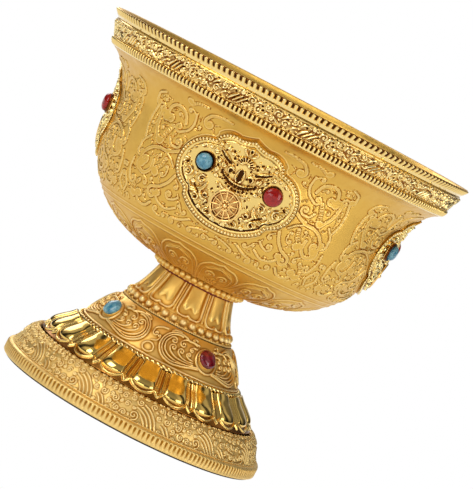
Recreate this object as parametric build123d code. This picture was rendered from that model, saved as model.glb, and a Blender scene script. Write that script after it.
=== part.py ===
# Footed offering bowl in gilt metal, set with turquoise and coral.
# Lengths are in millimetres and angles in degrees. Z is up, the floor is at zero and the bowl's
# axis is the Z axis. The front medallion faces minus Y, and an azimuth grows from there to plus X.
import math
import os

from build123d import *

# Heights of the stacked pieces, from the floor up
pad_height = 0.8
base_rim_height = 3.6
skirt_height = 7.6
petal_ring_height = 7.8
dome_height = 12.0
pearl_seat_height = 3.2
neck_height = 9.3
seam_height = 0.6
collar_height = 2.4
bowl_height = 59.7

# Levels between the pieces
rim_foot = pad_height
skirt_foot = rim_foot + base_rim_height
petal_foot = skirt_foot + skirt_height
dome_foot = petal_foot + petal_ring_height
seat_foot = dome_foot + dome_height
neck_foot = seat_foot + pearl_seat_height
seam_foot = neck_foot + neck_height
collar_foot = seam_foot + seam_height
bowl_foot = collar_foot + collar_height
mouth_level = bowl_foot + bowl_height

# Radii of the foot, as shares of the base's radius
base_radius = 42.5
pad_inset = 0.9
skirt_foot_share = 0.9694
skirt_top_share = 0.8541
petal_ring_foot_share = 0.8282
petal_ring_top_share = 0.6447
dome_foot_share = 0.6118
dome_top_share = 0.4329
pearl_seat_share = 0.3929
neck_foot_share = 0.3765
neck_top_share = 0.2918
collar_share = 0.3318
skirt_foot_radius = base_radius * skirt_foot_share
skirt_top_radius = base_radius * skirt_top_share
petal_ring_foot_radius = base_radius * petal_ring_foot_share
petal_ring_top_radius = base_radius * petal_ring_top_share
dome_foot_radius = base_radius * dome_foot_share
dome_top_radius = base_radius * dome_top_share
pearl_seat_radius = base_radius * pearl_seat_share
neck_foot_radius = base_radius * neck_foot_share
neck_top_radius = base_radius * neck_top_share
collar_radius = base_radius * collar_share

# The bowl and its rim
mouth_radius = 60.0
bowl_wall = 1.5
lip_overhang = 2.5
rim_taper = 1.9
lip_thickness = 0.7
upper_beading_height = 2.1
band_height = 5.3
lower_beading_height = 2.4
upper_beading_inset = 0.8
band_top_reach = 1.3
band_foot_reach = 1.4
lower_beading_reach = 2.0
band_fillet_height = 0.9
band_fillet_depth = 0.5
beading_crown = 0.6
rim_top_radius = mouth_radius - lip_overhang
rim_foot_radius = rim_top_radius - rim_taper
upper_beading_radius = mouth_radius - upper_beading_inset
band_top_radius = rim_top_radius + band_top_reach
band_foot_radius = rim_foot_radius + band_foot_reach
lower_beading_radius = rim_foot_radius + lower_beading_reach
rim_zone_height = lower_beading_height + band_height + upper_beading_height + lip_thickness
wall_top = mouth_level - rim_zone_height
wall_height = wall_top - bowl_foot

# Sheet, gaps and cuts
foot_wall = 1.8
solder_gap = 0.05
overrun = 2.0
curve_samples = 28
halvings = 40

# Medallions, as shares of the wall's height and of the radius under the rim
medallion_count = 4
medallion_level_share = 0.6606
medallion_rise_share = 0.2744
medallion_drop_share = 0.3028
medallion_width_share = 0.3345
wheel_radius_share = 0.2886
wheel_drop_share = 0.47
crest_width_share = 0.312
medallion_level = bowl_foot + wall_height * medallion_level_share
medallion_rise = wall_height * medallion_rise_share
medallion_drop = wall_height * medallion_drop_share
medallion_half_width = rim_foot_radius * medallion_width_share
wheel_radius = medallion_drop * wheel_radius_share
wheel_drop = medallion_drop * wheel_drop_share
crest_half_width = medallion_half_width * crest_width_share
plate_thickness = 0.9
border_width = 1.5
border_height = 0.55
wheel_rim_width = 0.9
wheel_hub_radius = 1.1
wheel_spoke_width = 0.55
wheel_spokes = 8
wheel_height = 0.9
crest_height = 1.3

# Stones and bezels
stone_radius = 2.7
stone_height = 2.3
stone_girdle = 0.9
bezel_wall = 0.4
bezel_floor = 0.4
bezel_height = 1.1
stone_clearance = 0.05
stone_angle = 12.9
stone_lift_share = 0.111
stone_lift = medallion_rise * stone_lift_share
dome_stone_count = 4
dome_stone_share = 0.625
dome_stone_level = dome_foot + dome_height * dome_stone_share

# Wires, pearls and petals
foot_rope_radius = 0.8
neck_rope_radius = 0.45
seat_pearl_radius = 1.15
seat_pearl_count = 35
collar_pearl_radius = 0.95
collar_pearl_count = 44
neck_petal_count = 10
neck_petal_height = 0.9
gadroon_count = 20
gadroon_radius = 4.5
gadroon_top_radius = 4.0
gadroon_bulge = 1.3
foot_turn = -5.5

# Clamp inside the foot
stud_radius = 4.0
stud_head_share = 0.6738
stud_head_radius = collar_radius * stud_head_share
stud_head_height = 1.0
stud_overhang = 2.5
stud_clearance = 0.3
web_height = 2.0
washer_radius_share = 0.6875
washer_radius = neck_foot_radius * washer_radius_share
washer_height = 1.5
nut_flats = 13.0
nut_height = 6.5
nut_foot = neck_foot - washer_height - nut_height
seam_recess = 0.4

# Outlines, each as shares of the sizes above

# Wall of the bowl from the edge of its floor up: of the radius and the height under the rim
wall_shares = [
    (0.270, 0.0),
    (0.480, 0.050),
    (0.648, 0.154),
    (0.766, 0.305),
    (0.831, 0.502),
    (0.851, 0.711),
    (0.871, 0.850),
    (0.923, 0.939),
    (1.0, 1.0),
]

# Rings of the foot from the bottom up: of the taper and of the height
skirt_shares = [(0.0, 0.0), (0.24, 0.24), (0.50, 0.66), (0.78, 0.87), (1.0, 1.0)]
petal_ring_shares = [(0.0, 0.0), (0.17, 0.21), (0.46, 0.51), (0.80, 0.80), (1.0, 1.0)]
dome_shares = [(0.0, 0.0), (0.21, 0.27), (0.53, 0.635), (1.0, 1.0)]
neck_shares = [(0.0, 0.0), (0.40, 0.28), (0.78, 0.70), (1.0, 1.0)]

# Medallion's right half from its tip down, as the middle and the end of each arc: of the half
# width, and of the rise above or the drop below its widest line
cartouche_shares = [
    ((0.10, 0.940), (0.23, 0.895)),
    ((0.44, 0.865), (0.56, 0.735)),
    ((0.565, 0.655), (0.60, 0.610)),
    ((0.895, 0.390), (1.0, 0.0)),
    ((0.930, -0.330), (0.735, -0.520)),
    ((0.695, -0.580), (0.68, -0.665)),
    ((0.40, -0.905), (0.0, -1.0)),
]

# Crest of a medallion, as ovals of (level, half width, half height): of the medallion's rise
crest_oval_shares = [(0.73, 0.06, 0.13), (0.52, 0.25, 0.13), (0.20, 0.12, 0.22)]

# Garland under the crest, right half from its lowest point: of its half width and of the rise
garland_foot_share = -0.13
garland_shares = [((0.70, 0.0), (1.0, 0.26)), ((0.50, 0.12), (0.0, 0.05))]

# Neck petal's right half from its cleft up: of the petal's width and of the neck's height
neck_petal_cleft_share = 0.15
neck_petal_shares = [((0.09, 0.125), (0.20, 0.10)), ((0.37, 0.14), (0.43, 0.30))]
neck_petal_top_shares = (0.33, 1.0)


def spot(radius, level):
    return Vector(radius, 0, level)


# Solid of revolution about the axis from a closed outline
def turned(edges):
    return revolve(make_face(edges), Axis.Z)


def turned_ring(points):
    return turned(Polyline(*[spot(*point) for point in points], close=True))


def flat_ring(inner, outer, low, high):
    return turned_ring([(inner, low), (outer, low), (outer, high), (inner, high)])


# Curve that tapers inward as it rises, through shares of its taper and height
def tapered_curve(shares, foot_radius, top_radius, foot, top):
    taper = foot_radius - top_radius
    height = top - foot
    return Spline(*[spot(foot_radius - inward * taper, foot + up * height) for inward, up in shares])


# Outward normal of a rising curve at a share of its length
def normal_at(curve, share):
    slope = curve % share
    return Vector(slope.Z, 0, -slope.X)


def offset_points(curve, distance):
    shares = [step / curve_samples for step in range(curve_samples + 1)]
    return [curve @ share + normal_at(curve, share) * distance for share in shares]


# Turned shell that lies between two distances outside a curve
def skin(curve, near, far):
    inner = offset_points(curve, near)
    outer = offset_points(curve, far)
    return turned([
        Spline(*inner),
        Line(inner[-1], outer[-1]),
        Spline(*reversed(outer)),
        Line(outer[0], inner[0]),
    ])


# Everything within a rising curve moved inward by a wall
def core(curve, wall):
    inward = Vector(wall, 0, 0)
    points = [curve @ (step / curve_samples) - inward for step in range(curve_samples + 1)]
    low, high = points[0], points[-1]
    return turned([
        Spline(*points),
        Line(high, spot(0, high.Z)),
        Line(spot(0, high.Z), spot(0, low.Z)),
        Line(spot(0, low.Z), low),
    ])


# The share of a rising curve's length at a level, found by halving
def share_at(curve, level):
    low, high = 0.0, 1.0
    for _ in range(halvings):
        middle = (low + high) / 2
        if (curve @ middle).Z < level:
            low = middle
        else:
            high = middle
    return low


def around(azimuth, shape):
    return Rot(0, 0, azimuth) * shape


# A place on a turned surface, with its own Z axis square to that surface
def seat(curve, level, lift, azimuth):
    share = share_at(curve, level)
    normal = normal_at(curve, share)
    origin = curve @ share + normal * lift
    return Rot(0, 0, azimuth - 90) * Plane(origin, x_dir=(0, 1, 0), z_dir=normal).location


# Bar of a sketched section that runs from the axis out through the front
def front_bar(section, level):
    face = Plane((0, 0, level), x_dir=(1, 0, 0), z_dir=(0, -1, 0)) * section
    return extrude(face, amount=mouth_radius)


# Arcs from shares of a width, and of a height above the line of zero or a depth below it
def scaled_arcs(arc_shares, width, height, depth=0):
    return [
        tuple((width * out, (height if up > 0 else depth) * up) for out, up in arc)
        for arc in arc_shares
    ]


# Outline that is the same on both sides, from arcs of the right half between two points on its
# middle line, or with a straight top
def mirrored_face(start, arcs, top=None):
    edges = []
    here = start
    for middle, end in arcs:
        edges.append(ThreePointArc(here, middle, end))
        here = end
    if top:
        edges.append(Line(here, top))
        edges.append(Line(top, (0, top[1])))
    return make_face(edges + [mirror(edge, Plane.YZ) for edge in edges])


def largest(shape):
    return shape.solids().sort_by(SortBy.VOLUME)[-1]


# Curves that several pieces follow
wall_curve = Spline(*[
    spot(rim_foot_radius * out, bowl_foot + wall_height * up) for out, up in wall_shares
])
skirt_curve = tapered_curve(
    skirt_shares, skirt_foot_radius, skirt_top_radius, skirt_foot, petal_foot
)
petal_ring_curve = tapered_curve(
    petal_ring_shares, petal_ring_foot_radius, petal_ring_top_radius, petal_foot, dome_foot
)
dome_curve = tapered_curve(
    dome_shares, dome_foot_radius, dome_top_radius, dome_foot + 2 * foot_rope_radius, seat_foot
)
neck_curve = tapered_curve(
    neck_shares, neck_foot_radius, neck_top_radius, neck_foot, seam_foot
)


# The foot

def base_pad():
    return flat_ring(0, base_radius - pad_inset, 0, pad_height)


def base_rim():
    inner = skirt_foot_radius - foot_wall
    shoulder = spot(base_radius, rim_foot + base_rim_height / 2)
    crown = spot(skirt_foot_radius, skirt_foot)
    corners = [crown, spot(inner, skirt_foot), spot(inner, rim_foot), spot(base_radius, rim_foot)]
    return turned([
        Polyline(*corners, shoulder),
        Spline(shoulder, crown, tangents=[(0, 0, 1), (-1, 0, 1)]),
    ])


def foot_skirt():
    return core(skirt_curve, 0) - core(skirt_curve, foot_wall)


# One petal of the polished ring: a tapered bar with a round lower end, sunk into the ring
def gadroon():
    length = petal_ring_height + overrun
    outline = make_face([
        CenterArc((0, 0), gadroon_radius, -90, 90),
        Polyline((gadroon_radius, 0), (gadroon_top_radius, length), (0, length),
                 (0, -gadroon_radius)),
    ])
    bar = revolve(Plane.XZ * outline, Axis.Z)
    low = share_at(petal_ring_curve, petal_foot + gadroon_radius)
    slope = petal_ring_curve @ 1 - petal_ring_curve @ low
    sunk = gadroon_radius - gadroon_bulge
    origin = petal_ring_curve @ low - normal_at(petal_ring_curve, low) * sunk
    placed = Plane(origin, x_dir=(0, 1, 0), z_dir=slope).location * bar
    return around(-90, placed)


def lotus_petal_ring():
    pitch = 360 / gadroon_count
    petal = gadroon()
    petals = [around(foot_turn + (n + 0.5) * pitch, petal) for n in range(gadroon_count)]
    reach = petal_ring_foot_radius + gadroon_radius
    slab = flat_ring(0, reach, petal_foot, dome_foot)
    filled = (core(petal_ring_curve, 0) + petals) & slab
    return largest(filled - core(petal_ring_curve, foot_wall))


def foot_rope_ring():
    centre = dome_foot_radius + solder_gap + foot_rope_radius
    return Pos(0, 0, dome_foot + foot_rope_radius) * Torus(centre, foot_rope_radius)


def foot_dome():
    collar_top = dome_foot + 2 * foot_rope_radius
    collar = flat_ring(dome_foot_radius - foot_wall, dome_foot_radius, dome_foot, collar_top)
    shell = core(dome_curve, 0) - core(dome_curve, foot_wall)
    flange_bore = pearl_seat_radius - seat_pearl_radius - foot_wall
    flange = flat_ring(
        flange_bore, dome_top_radius - foot_wall / 2, seat_foot - foot_wall, seat_foot
    )
    return collar + shell + flange


def neck_pearl_ring():
    backing = pearl_seat_radius - seat_pearl_radius / 2
    ring = flat_ring(backing - foot_wall, backing, seat_foot, neck_foot)
    middle = neck_foot - seat_pearl_radius
    pearl = Pos(0, -pearl_seat_radius, middle) * Sphere(seat_pearl_radius)
    pitch = 360 / seat_pearl_count
    return ring + [around(n * pitch, pearl) for n in range(seat_pearl_count)]


def neck_rope_wire():
    centre = dome_top_radius - neck_rope_radius
    return Pos(0, 0, seat_foot + neck_rope_radius) * Torus(centre, neck_rope_radius)


# Hanging petal of the neck as a raised panel on the front
def neck_petal():
    width = 2 * neck_foot_radius * math.sin(math.radians(180 / neck_petal_count))
    arcs = scaled_arcs(neck_petal_shares, width, neck_height)
    top_out, top_up = neck_petal_top_shares
    cleft = (0, neck_height * neck_petal_cleft_share)
    section = mirrored_face(cleft, arcs, (width * top_out, neck_height * top_up))
    return front_bar(section, neck_foot) & skin(neck_curve, -foot_wall / 2, neck_petal_height)


def neck_petal_collar():
    pitch = 360 / neck_petal_count
    petal = neck_petal()
    petals = [around(foot_turn + (n + 0.5) * pitch, petal) for n in range(neck_petal_count)]
    reach = neck_foot_radius + neck_petal_height
    slab = flat_ring(0, reach, neck_foot, seam_foot)
    web = flat_ring(0, neck_foot_radius - foot_wall / 2, neck_foot, neck_foot + web_height)
    shell = core(neck_curve, 0) - core(neck_curve, foot_wall)
    bore = Cylinder(stud_radius + stud_clearance, neck_height)
    return largest(((shell + petals + web) & slab) - Pos(0, 0, neck_foot) * bore)


def seam_washer():
    outer = neck_top_radius - seam_recess
    return flat_ring(stud_radius + stud_clearance, outer, seam_foot, collar_foot)


# The clamp

def clamp_stud():
    head = bowl_foot - stud_head_height
    stem = flat_ring(0, stud_radius, nut_foot - stud_overhang, head)
    return flat_ring(0, stud_head_radius, head, bowl_foot) + stem


def clamp_washer():
    return flat_ring(
        stud_radius + stud_clearance, washer_radius, neck_foot - washer_height, neck_foot
    )


def clamp_nut():
    section = RegularPolygon(nut_flats / 2, 6, major_radius=False)
    section -= Circle(stud_radius + solder_gap)
    return Pos(0, 0, nut_foot) * extrude(section, amount=nut_height)


# The bowl

def bowl_pearl_ring():
    backing = collar_radius - collar_pearl_radius / 2
    ring = flat_ring(stud_head_radius + stud_clearance, backing, collar_foot, bowl_foot)
    middle = bowl_foot - collar_pearl_radius - solder_gap
    pearl = Pos(0, -collar_radius, middle) * Sphere(collar_pearl_radius)
    pitch = 360 / collar_pearl_count
    return ring + [around(n * pitch, pearl) for n in range(collar_pearl_count)]


def bowl_shell():
    inner = offset_points(wall_curve, -bowl_wall)
    lip_foot = mouth_level - lip_thickness
    lip_end = mouth_radius - lip_thickness / 2
    inner_rim = spot(rim_top_radius - bowl_wall, lip_foot - lip_thickness)
    lip_inner = spot(rim_top_radius + lip_thickness / 2, mouth_level)
    return turned([
        Line(spot(0, bowl_foot), wall_curve @ 0),
        wall_curve,
        Polyline(wall_curve @ 1, spot(rim_top_radius, lip_foot), spot(lip_end, lip_foot)),
        ThreePointArc(
            spot(lip_end, lip_foot),
            spot(mouth_radius, (lip_foot + mouth_level) / 2),
            spot(lip_end, mouth_level),
        ),
        Line(spot(lip_end, mouth_level), lip_inner),
        Spline(lip_inner, inner_rim, tangents=[(-1, 0, 0), inner[-1] - inner_rim]),
        Line(inner_rim, inner[-1]),
        Spline(*reversed(inner)),
        Polyline(inner[0], spot(0, inner[0].Z), spot(0, bowl_foot)),
    ])


# Outside radius of the bowl at a level within the rim
def rim_wall_radius(level):
    share = (level - wall_top) / (rim_zone_height - lip_thickness)
    return rim_foot_radius + share * (rim_top_radius - rim_foot_radius) + solder_gap


# Half-round wire round the rim
def beading(low, high, reach):
    crown = reach - beading_crown
    return turned([
        ThreePointArc(spot(crown, low), spot(reach, (low + high) / 2), spot(crown, high)),
        Polyline(
            spot(crown, high),
            spot(rim_wall_radius(high), high),
            spot(rim_wall_radius(low), low),
            spot(crown, low),
        ),
    ])


def rim_lower_beading():
    return beading(wall_top, wall_top + lower_beading_height, lower_beading_radius)


def rim_band():
    low = wall_top + lower_beading_height
    high = low + band_height
    fillet = high - band_fillet_height
    recess = band_top_radius - band_fillet_depth
    return turned_ring([
        (rim_wall_radius(low), low),
        (band_foot_radius, low),
        (band_top_radius, fillet),
        (recess, fillet),
        (recess, high),
        (rim_wall_radius(high), high),
    ])


def rim_upper_beading():
    low = wall_top + lower_beading_height + band_height
    return beading(low, mouth_level - lip_thickness, upper_beading_radius)


# Medallions

def cartouche(inset):
    rise = medallion_rise - inset
    arcs = scaled_arcs(
        cartouche_shares, medallion_half_width - inset, rise, medallion_drop - inset
    )
    return mirrored_face((0, rise), arcs)


# Slice of a raised layer on the bowl's wall, cut to a section on the front
def applique(section, level, near, height):
    return front_bar(section, level) & skin(wall_curve, near, near + height)


plate_face = solder_gap + plate_thickness
trim_foot = plate_face + solder_gap


def medallion_plate():
    return applique(cartouche(0), medallion_level, solder_gap, plate_thickness)


def medallion_border():
    section = cartouche(0) - cartouche(border_width)
    return applique(section, medallion_level, trim_foot, border_height)


def medallion_wheel():
    ring = Circle(wheel_radius) - Circle(wheel_radius - wheel_rim_width)
    span = 2 * wheel_radius - wheel_rim_width
    turns = range(wheel_spokes // 2)
    spokes = [Rot(0, 0, n * 360 / wheel_spokes) * Rectangle(span, wheel_spoke_width) for n in turns]
    section = ring + Circle(wheel_hub_radius) + spokes
    return applique(section, medallion_level - wheel_drop, trim_foot, wheel_height)


def medallion_crest():
    rise = medallion_rise
    garland = scaled_arcs(garland_shares, crest_half_width, rise)
    section = mirrored_face((0, rise * garland_foot_share), garland)
    for level, width, height in crest_oval_shares:
        section += Pos(0, rise * level) * Ellipse(rise * width, rise * height)
    return applique(section, medallion_level, trim_foot, crest_height)


# Stones

def bezel():
    inner = stone_radius + stone_clearance
    outer = inner + bezel_wall
    cup = Cylinder(outer, bezel_height, align=(Align.CENTER, Align.CENTER, Align.MIN))
    pocket = Cylinder(inner, bezel_height, align=(Align.CENTER, Align.CENTER, Align.MIN))
    return cup - Pos(0, 0, bezel_floor) * pocket


def cabochon():
    foot = bezel_floor + stone_clearance
    girdle = foot + stone_girdle
    top = foot + stone_height
    shoulder = Vector(stone_radius, 0, girdle)
    return turned([
        Polyline(spot(0, top), spot(0, foot), spot(stone_radius, foot), shoulder),
        Spline(shoulder, spot(0, top), tangents=[(0, 0, 1), (-1, 0, 0)]),
    ])


def medallion_pieces():
    fixed = {
        "plate": medallion_plate(),
        "border": medallion_border(),
        "wheel": medallion_wheel(),
        "crest": medallion_crest(),
    }
    level = medallion_level + stone_lift
    for colour, side in (("turquoise", -1), ("coral", 1)):
        place = seat(wall_curve, level, trim_foot, side * stone_angle)
        fixed[colour + "_bezel"] = place * bezel()
        fixed[colour + "_stone"] = place * cabochon()
    names = ["front", "right", "back", "left"]
    pitch = 360 / medallion_count
    pieces = {}
    for n in range(medallion_count):
        for name, shape in fixed.items():
            pieces[f"{names[n]}_medallion_{name}"] = around(n * pitch, shape)
    return pieces


def dome_stones():
    names = ["front_right_garnet", "back_right_turquoise", "back_left_garnet",
             "front_left_turquoise"]
    pitch = 360 / dome_stone_count
    pieces = {}
    for n in range(dome_stone_count):
        azimuth = foot_turn + (n + 0.5) * pitch
        place = seat(dome_curve, dome_stone_level, solder_gap, azimuth)
        pieces[f"dome_{names[n]}_bezel"] = place * bezel()
        pieces[f"dome_{names[n]}_stone"] = place * cabochon()
    return pieces


makers = [
    base_pad, base_rim, foot_skirt, lotus_petal_ring, foot_rope_ring, foot_dome, neck_rope_wire,
    neck_pearl_ring, neck_petal_collar, seam_washer, clamp_stud, clamp_washer, clamp_nut,
    bowl_pearl_ring, bowl_shell, rim_lower_beading, rim_band, rim_upper_beading,
]
parts = {maker.__name__: maker() for maker in makers}
parts |= medallion_pieces()
parts |= dome_stones()

os.makedirs("parts", exist_ok=True)
for name, shape in parts.items():
    export_step(shape, f"parts/{name}.step")
    print(name, len(shape.solids()), round(shape.volume, 1))
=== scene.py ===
# Footed offering bowl in gilt metal: lobed medallions with set stones, chased wall, lotus foot
import math

import bpy
import numpy as np
from mathutils import Matrix, Vector


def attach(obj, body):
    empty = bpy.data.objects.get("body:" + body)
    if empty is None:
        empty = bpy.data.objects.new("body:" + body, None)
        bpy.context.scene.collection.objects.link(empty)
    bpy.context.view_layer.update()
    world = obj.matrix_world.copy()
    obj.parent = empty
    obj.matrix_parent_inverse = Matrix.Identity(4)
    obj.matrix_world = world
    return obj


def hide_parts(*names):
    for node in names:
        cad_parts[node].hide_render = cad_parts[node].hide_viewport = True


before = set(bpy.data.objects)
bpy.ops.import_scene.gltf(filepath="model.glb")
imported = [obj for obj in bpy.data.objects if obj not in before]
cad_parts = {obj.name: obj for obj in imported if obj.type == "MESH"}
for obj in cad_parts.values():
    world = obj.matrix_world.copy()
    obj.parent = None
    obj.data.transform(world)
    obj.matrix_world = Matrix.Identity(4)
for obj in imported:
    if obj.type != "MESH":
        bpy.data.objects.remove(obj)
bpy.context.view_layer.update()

# Lengths below are in millimetres, azimuths in degrees from the front towards +X.
mm = 0.001
fullTurn = 2 * math.pi


# Relief drawing: a canvas holds height maps in millimetres, of raised lines, cuts and forms

def newCanvas(width, height, step, left=0.0, low=0.0, wraps=False):
    if wraps:
        step = width / round(width / step)
    shape = (math.ceil(height / step) + 1, int(round(width / step)) + 1)
    return {"raised": np.zeros(shape), "cut": np.zeros(shape), "form": np.zeros(shape),
            "step": step, "left": left, "low": low, "width": width, "wraps": wraps}


# Where the columns and the rows of a canvas lie
def placesOf(canvas):
    rows, cols = canvas["raised"].shape
    return (canvas["left"] + np.arange(cols)[None] * canvas["step"],
            canvas["low"] + np.arange(rows)[:, None] * canvas["step"])


# A line in one layer: round across, but a form holds how far each place is from its edge
def drawInto(canvas, layerName, points, widths, height):
    step, left, low = canvas["step"], canvas["left"], canvas["low"]
    layer = canvas[layerName]
    rows, cols = layer.shape
    for (x0, y0), (x1, y1), w0, w1 in zip(points[:-1], points[1:], widths[:-1], widths[1:]):
        reach = max(w0, w1) + step
        c0 = max(0, int((min(x0, x1) - reach - left) / step))
        c1 = min(cols, int((max(x0, x1) + reach - left) / step) + 2)
        r0 = max(0, int((min(y0, y1) - reach - low) / step))
        r1 = min(rows, int((max(y0, y1) + reach - low) / step) + 2)
        if c0 >= c1 or r0 >= r1:
            continue
        x = left + np.arange(c0, c1)[None] * step
        y = low + np.arange(r0, r1)[:, None] * step
        dx, dy = x1 - x0, y1 - y0
        along = np.clip(((x - x0) * dx + (y - y0) * dy) / max(dx * dx + dy * dy, 1e-9), 0, 1)
        away = np.hypot(x - x0 - along * dx, y - y0 - along * dy)
        wide = np.maximum(w0 + (w1 - w0) * along, 1e-6)
        if layerName == "form":
            bump = np.maximum(0, wide - away)
        else:
            bump = height * np.sqrt(np.clip(1 - (away / wide) ** 2, 0, 1))
        window = layer[r0:r1, c0:c1]
        np.maximum(window, bump, out=window)


# One raised line, or a cut one where the height is negative. It may thin out or swell.
def stroke(canvas, points, width, height, thin=(1.0, 1.0), swell=0.0, layer=None):
    points = np.asarray(points, float)
    t = np.linspace(0, 1, len(points))
    widths = width * (thin[0] + (thin[1] - thin[0]) * t)
    if swell:
        widths = width * np.maximum(0.12, np.sin(math.pi * np.clip(t, 0.001, 0.999)) ** swell)
    layer = layer or ("raised" if height > 0 else "cut")
    for shift in (-canvas["width"], 0, canvas["width"]) if canvas["wraps"] else (0,):
        drawInto(canvas, layer, points + (shift, 0), widths, abs(height))


# Raises the drawn forms, merged where they meet, with a fine edge and a groove round them
def raiseForms(canvas, height, edge, lineWidth, groove):
    depth = canvas["form"]
    plateau = height * np.clip(depth / 0.2, 0, 1)
    line = edge * np.exp(-((depth - lineWidth) / (lineWidth * 0.5)) ** 2) * (depth > 0)
    canvas["raised"] = np.maximum(canvas["raised"], plateau + line)
    canvas["cut"] += groove * np.exp(-((depth - 0.05) / 0.09) ** 2) * (depth > 0)


def dot(canvas, x, y, radius, height):
    stroke(canvas, [(x, y), (x + 0.01, y)], radius, height)


# Catmull-Rom line through a few points
def smooth(points, count=12):
    p = np.asarray(points, float)
    p = np.vstack([2 * p[:1] - p[1:2], p, 2 * p[-1:] - p[-2:-1]])
    t = np.arange(count)[:, None] / count
    out = [0.5 * (2 * b + (c - a) * t + (2 * a - 5 * b + 4 * c - d) * t ** 2
                  + (3 * b - a - 3 * c + d) * t ** 3)
           for a, b, c, d in zip(p[:-3], p[1:-2], p[2:-1], p[3:])]
    return np.vstack(out + [p[-2:-1]])


def spiral(x, y, radius, turns, start=0.0, hand=1, core=0.16):
    t = np.linspace(0, 1, int(26 * turns) + 4)
    r = radius * (1 - (1 - core) * t ** 0.85)
    a = math.radians(start) + hand * turns * fullTurn * t
    return np.stack([x + r * np.cos(a), y + r * np.sin(a)], 1)


# A curled tendril: a spiral line with a bead at its eye
def curl(canvas, x, y, radius, start, hand, width, height, turns, bead=0.24):
    stroke(canvas, spiral(x, y, radius, turns, start, hand), width, height, thin=(1.0, 0.7))
    dot(canvas, x, y, radius * bead, height * 1.1)


# A leaf that thins at both ends, with a cut vein
def leaf(canvas, points, width, height, vein=0.0):
    line = smooth(points)
    stroke(canvas, line, width, height, swell=0.7)
    if vein:
        stroke(canvas, line[2:-2], width * 0.18, -vein, swell=0.5)


def leftOf(direction):
    return np.array([-direction[1], direction[0]])


# A line that ends in a curl: side is 1 to turn left at its end, -1 to turn right
def comma(canvas, points, radius, side, width, height, flip=None, turns=1.1, layer=None):
    if flip is not None:
        points, side = [(2 * flip - x, y) for x, y in points], -side
    line = smooth(points)
    along = line[-1] - line[-2]
    across = leftOf(along) * side / np.linalg.norm(along)
    start = math.degrees(math.atan2(-across[1], -across[0]))
    end = spiral(*(line[-1] + across * radius), radius, turns, start, side)
    stroke(canvas, np.vstack([line, end[1:]]), width, height, thin=(0.9, 1.0), layer=layer)


# Free places for small forms, each size in turn: their middles and radii
def freeSpots(canvas, busy, sizes, rng):
    step = canvas["step"]
    rows, cols = busy.shape
    for radius, tries in sizes:
        reach = int(radius / step) + 1
        across = rng.integers(0, cols, tries)
        up = rng.integers(0, rows, tries)
        for c, r in zip(across, up):
            window = busy[max(0, r - reach):r + reach + 1, max(0, c - reach):c + reach + 1]
            if not window.any():
                window[:] = True
                yield c * step + canvas["left"], r * step + canvas["low"], radius


def reliefOf(canvas):
    return canvas["raised"] - canvas["cut"]


def drawnOn(canvas):
    return (canvas["raised"] > 0.05) | (canvas["cut"] > 0.05)


# Fields of a canvas at places on it, 0 beside it
def sampled(canvas, x, y, *fields):
    rows, cols = fields[0].shape
    x, y = np.broadcast_arrays(x, y)
    u, v = (x - canvas["left"]) / canvas["step"], (y - canvas["low"]) / canvas["step"]
    inside = (u >= 0) & (u <= cols - 1) & (v >= 0) & (v <= rows - 1)
    u, v = np.clip(u, 0, cols - 1.001), np.clip(v, 0, rows - 1.001)
    c, r = u.astype(int), v.astype(int)
    fu, fv = u - c, v - r
    return [inside * ((f[r, c] * (1 - fu) + f[r, c + 1] * fu) * (1 - fv)
                      + (f[r + 1, c] * (1 - fu) + f[r + 1, c + 1] * fu) * fv) for f in fields]


# Blur by repeated box sums
def blurred(field, reach):
    out, width = field.astype(float), 2 * reach + 1
    for axis in (0, 0, 1, 1):
        ends = [(reach + 1, reach) if k == axis else (0, 0) for k in (0, 1)]
        total = np.cumsum(np.pad(out, ends, "edge"), axis)
        at = np.arange(out.shape[axis])
        out = (total.take(at + width, axis) - total.take(at, axis)) / width
    return out


# Mask of what lies deep, towards 0, and what stands proud, towards 1; the gilding paints shade
# into what lies deep
def proudMask(field, reach, gain, middle):
    return np.clip(middle + (field - blurred(field, reach)) * gain, 0, 1)


# Lines

def arcLengths(line):
    return np.append(0, np.cumsum(np.linalg.norm(np.diff(line, axis=0), axis=1)))


def alongLine(line, at):
    return np.stack([np.interp(at, arcLengths(line), line[:, k]) for k in (0, 1)], 1)


def evenly(points, count):
    line = smooth(points, 24)
    return alongLine(line, np.linspace(0, arcLengths(line)[-1], count))


def unit(vectors):
    return vectors / np.linalg.norm(vectors, axis=1, keepdims=True)


def normalsOf(line):
    along = np.gradient(line, axis=0)
    return unit(np.stack([along[:, 1], -along[:, 0]], 1))


# Mesh building: a part is its points, its faces of four and of three, and its mask

def fan(ring, hub, back=False):
    after = np.roll(ring, -1)
    return np.stack([*((after, ring) if back else (ring, after)), np.full(len(ring), hub)], 1)


# Rows of points closed round their columns; the first and last row are joined, or end in hubs
def tube(grid, mask=0.5, hubs=None):
    rows, cols = grid.shape[:2]
    index = np.arange(rows * cols).reshape(rows, cols)
    quads = np.stack([index, np.roll(index, -1, 1), np.roll(index, (-1, -1), (0, 1)),
                      np.roll(index, -1, 0)], 2)
    points, tris = grid.reshape(-1, 3), np.zeros((0, 3), int)
    values = np.broadcast_to(mask, (rows, cols)).ravel()
    if hubs is not None:
        quads = quads[:-1]
        tris = np.vstack([fan(index[0], rows * cols, True), fan(index[-1], rows * cols + 1)])
        points, values = np.vstack([points, hubs]), np.append(values, values[[0, -1]])
    return points, quads.reshape(-1, 4), tris, values


def joined(parts):
    points, quads, tris, masks = zip(*parts)
    base = np.cumsum([0] + [len(p) for p in points])
    return (np.vstack(points), np.vstack([q + b for q, b in zip(quads, base)]),
            np.vstack([t + b for t, b in zip(tris, base)]), np.concatenate(masks))


def turnedPart(whole, azimuth):
    c, s = math.cos(math.radians(azimuth)), math.sin(math.radians(azimuth))
    return (whole[0] @ np.array([(c, s, 0), (-s, c, 0), (0, 0, 1)]),) + whole[1:]


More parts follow.
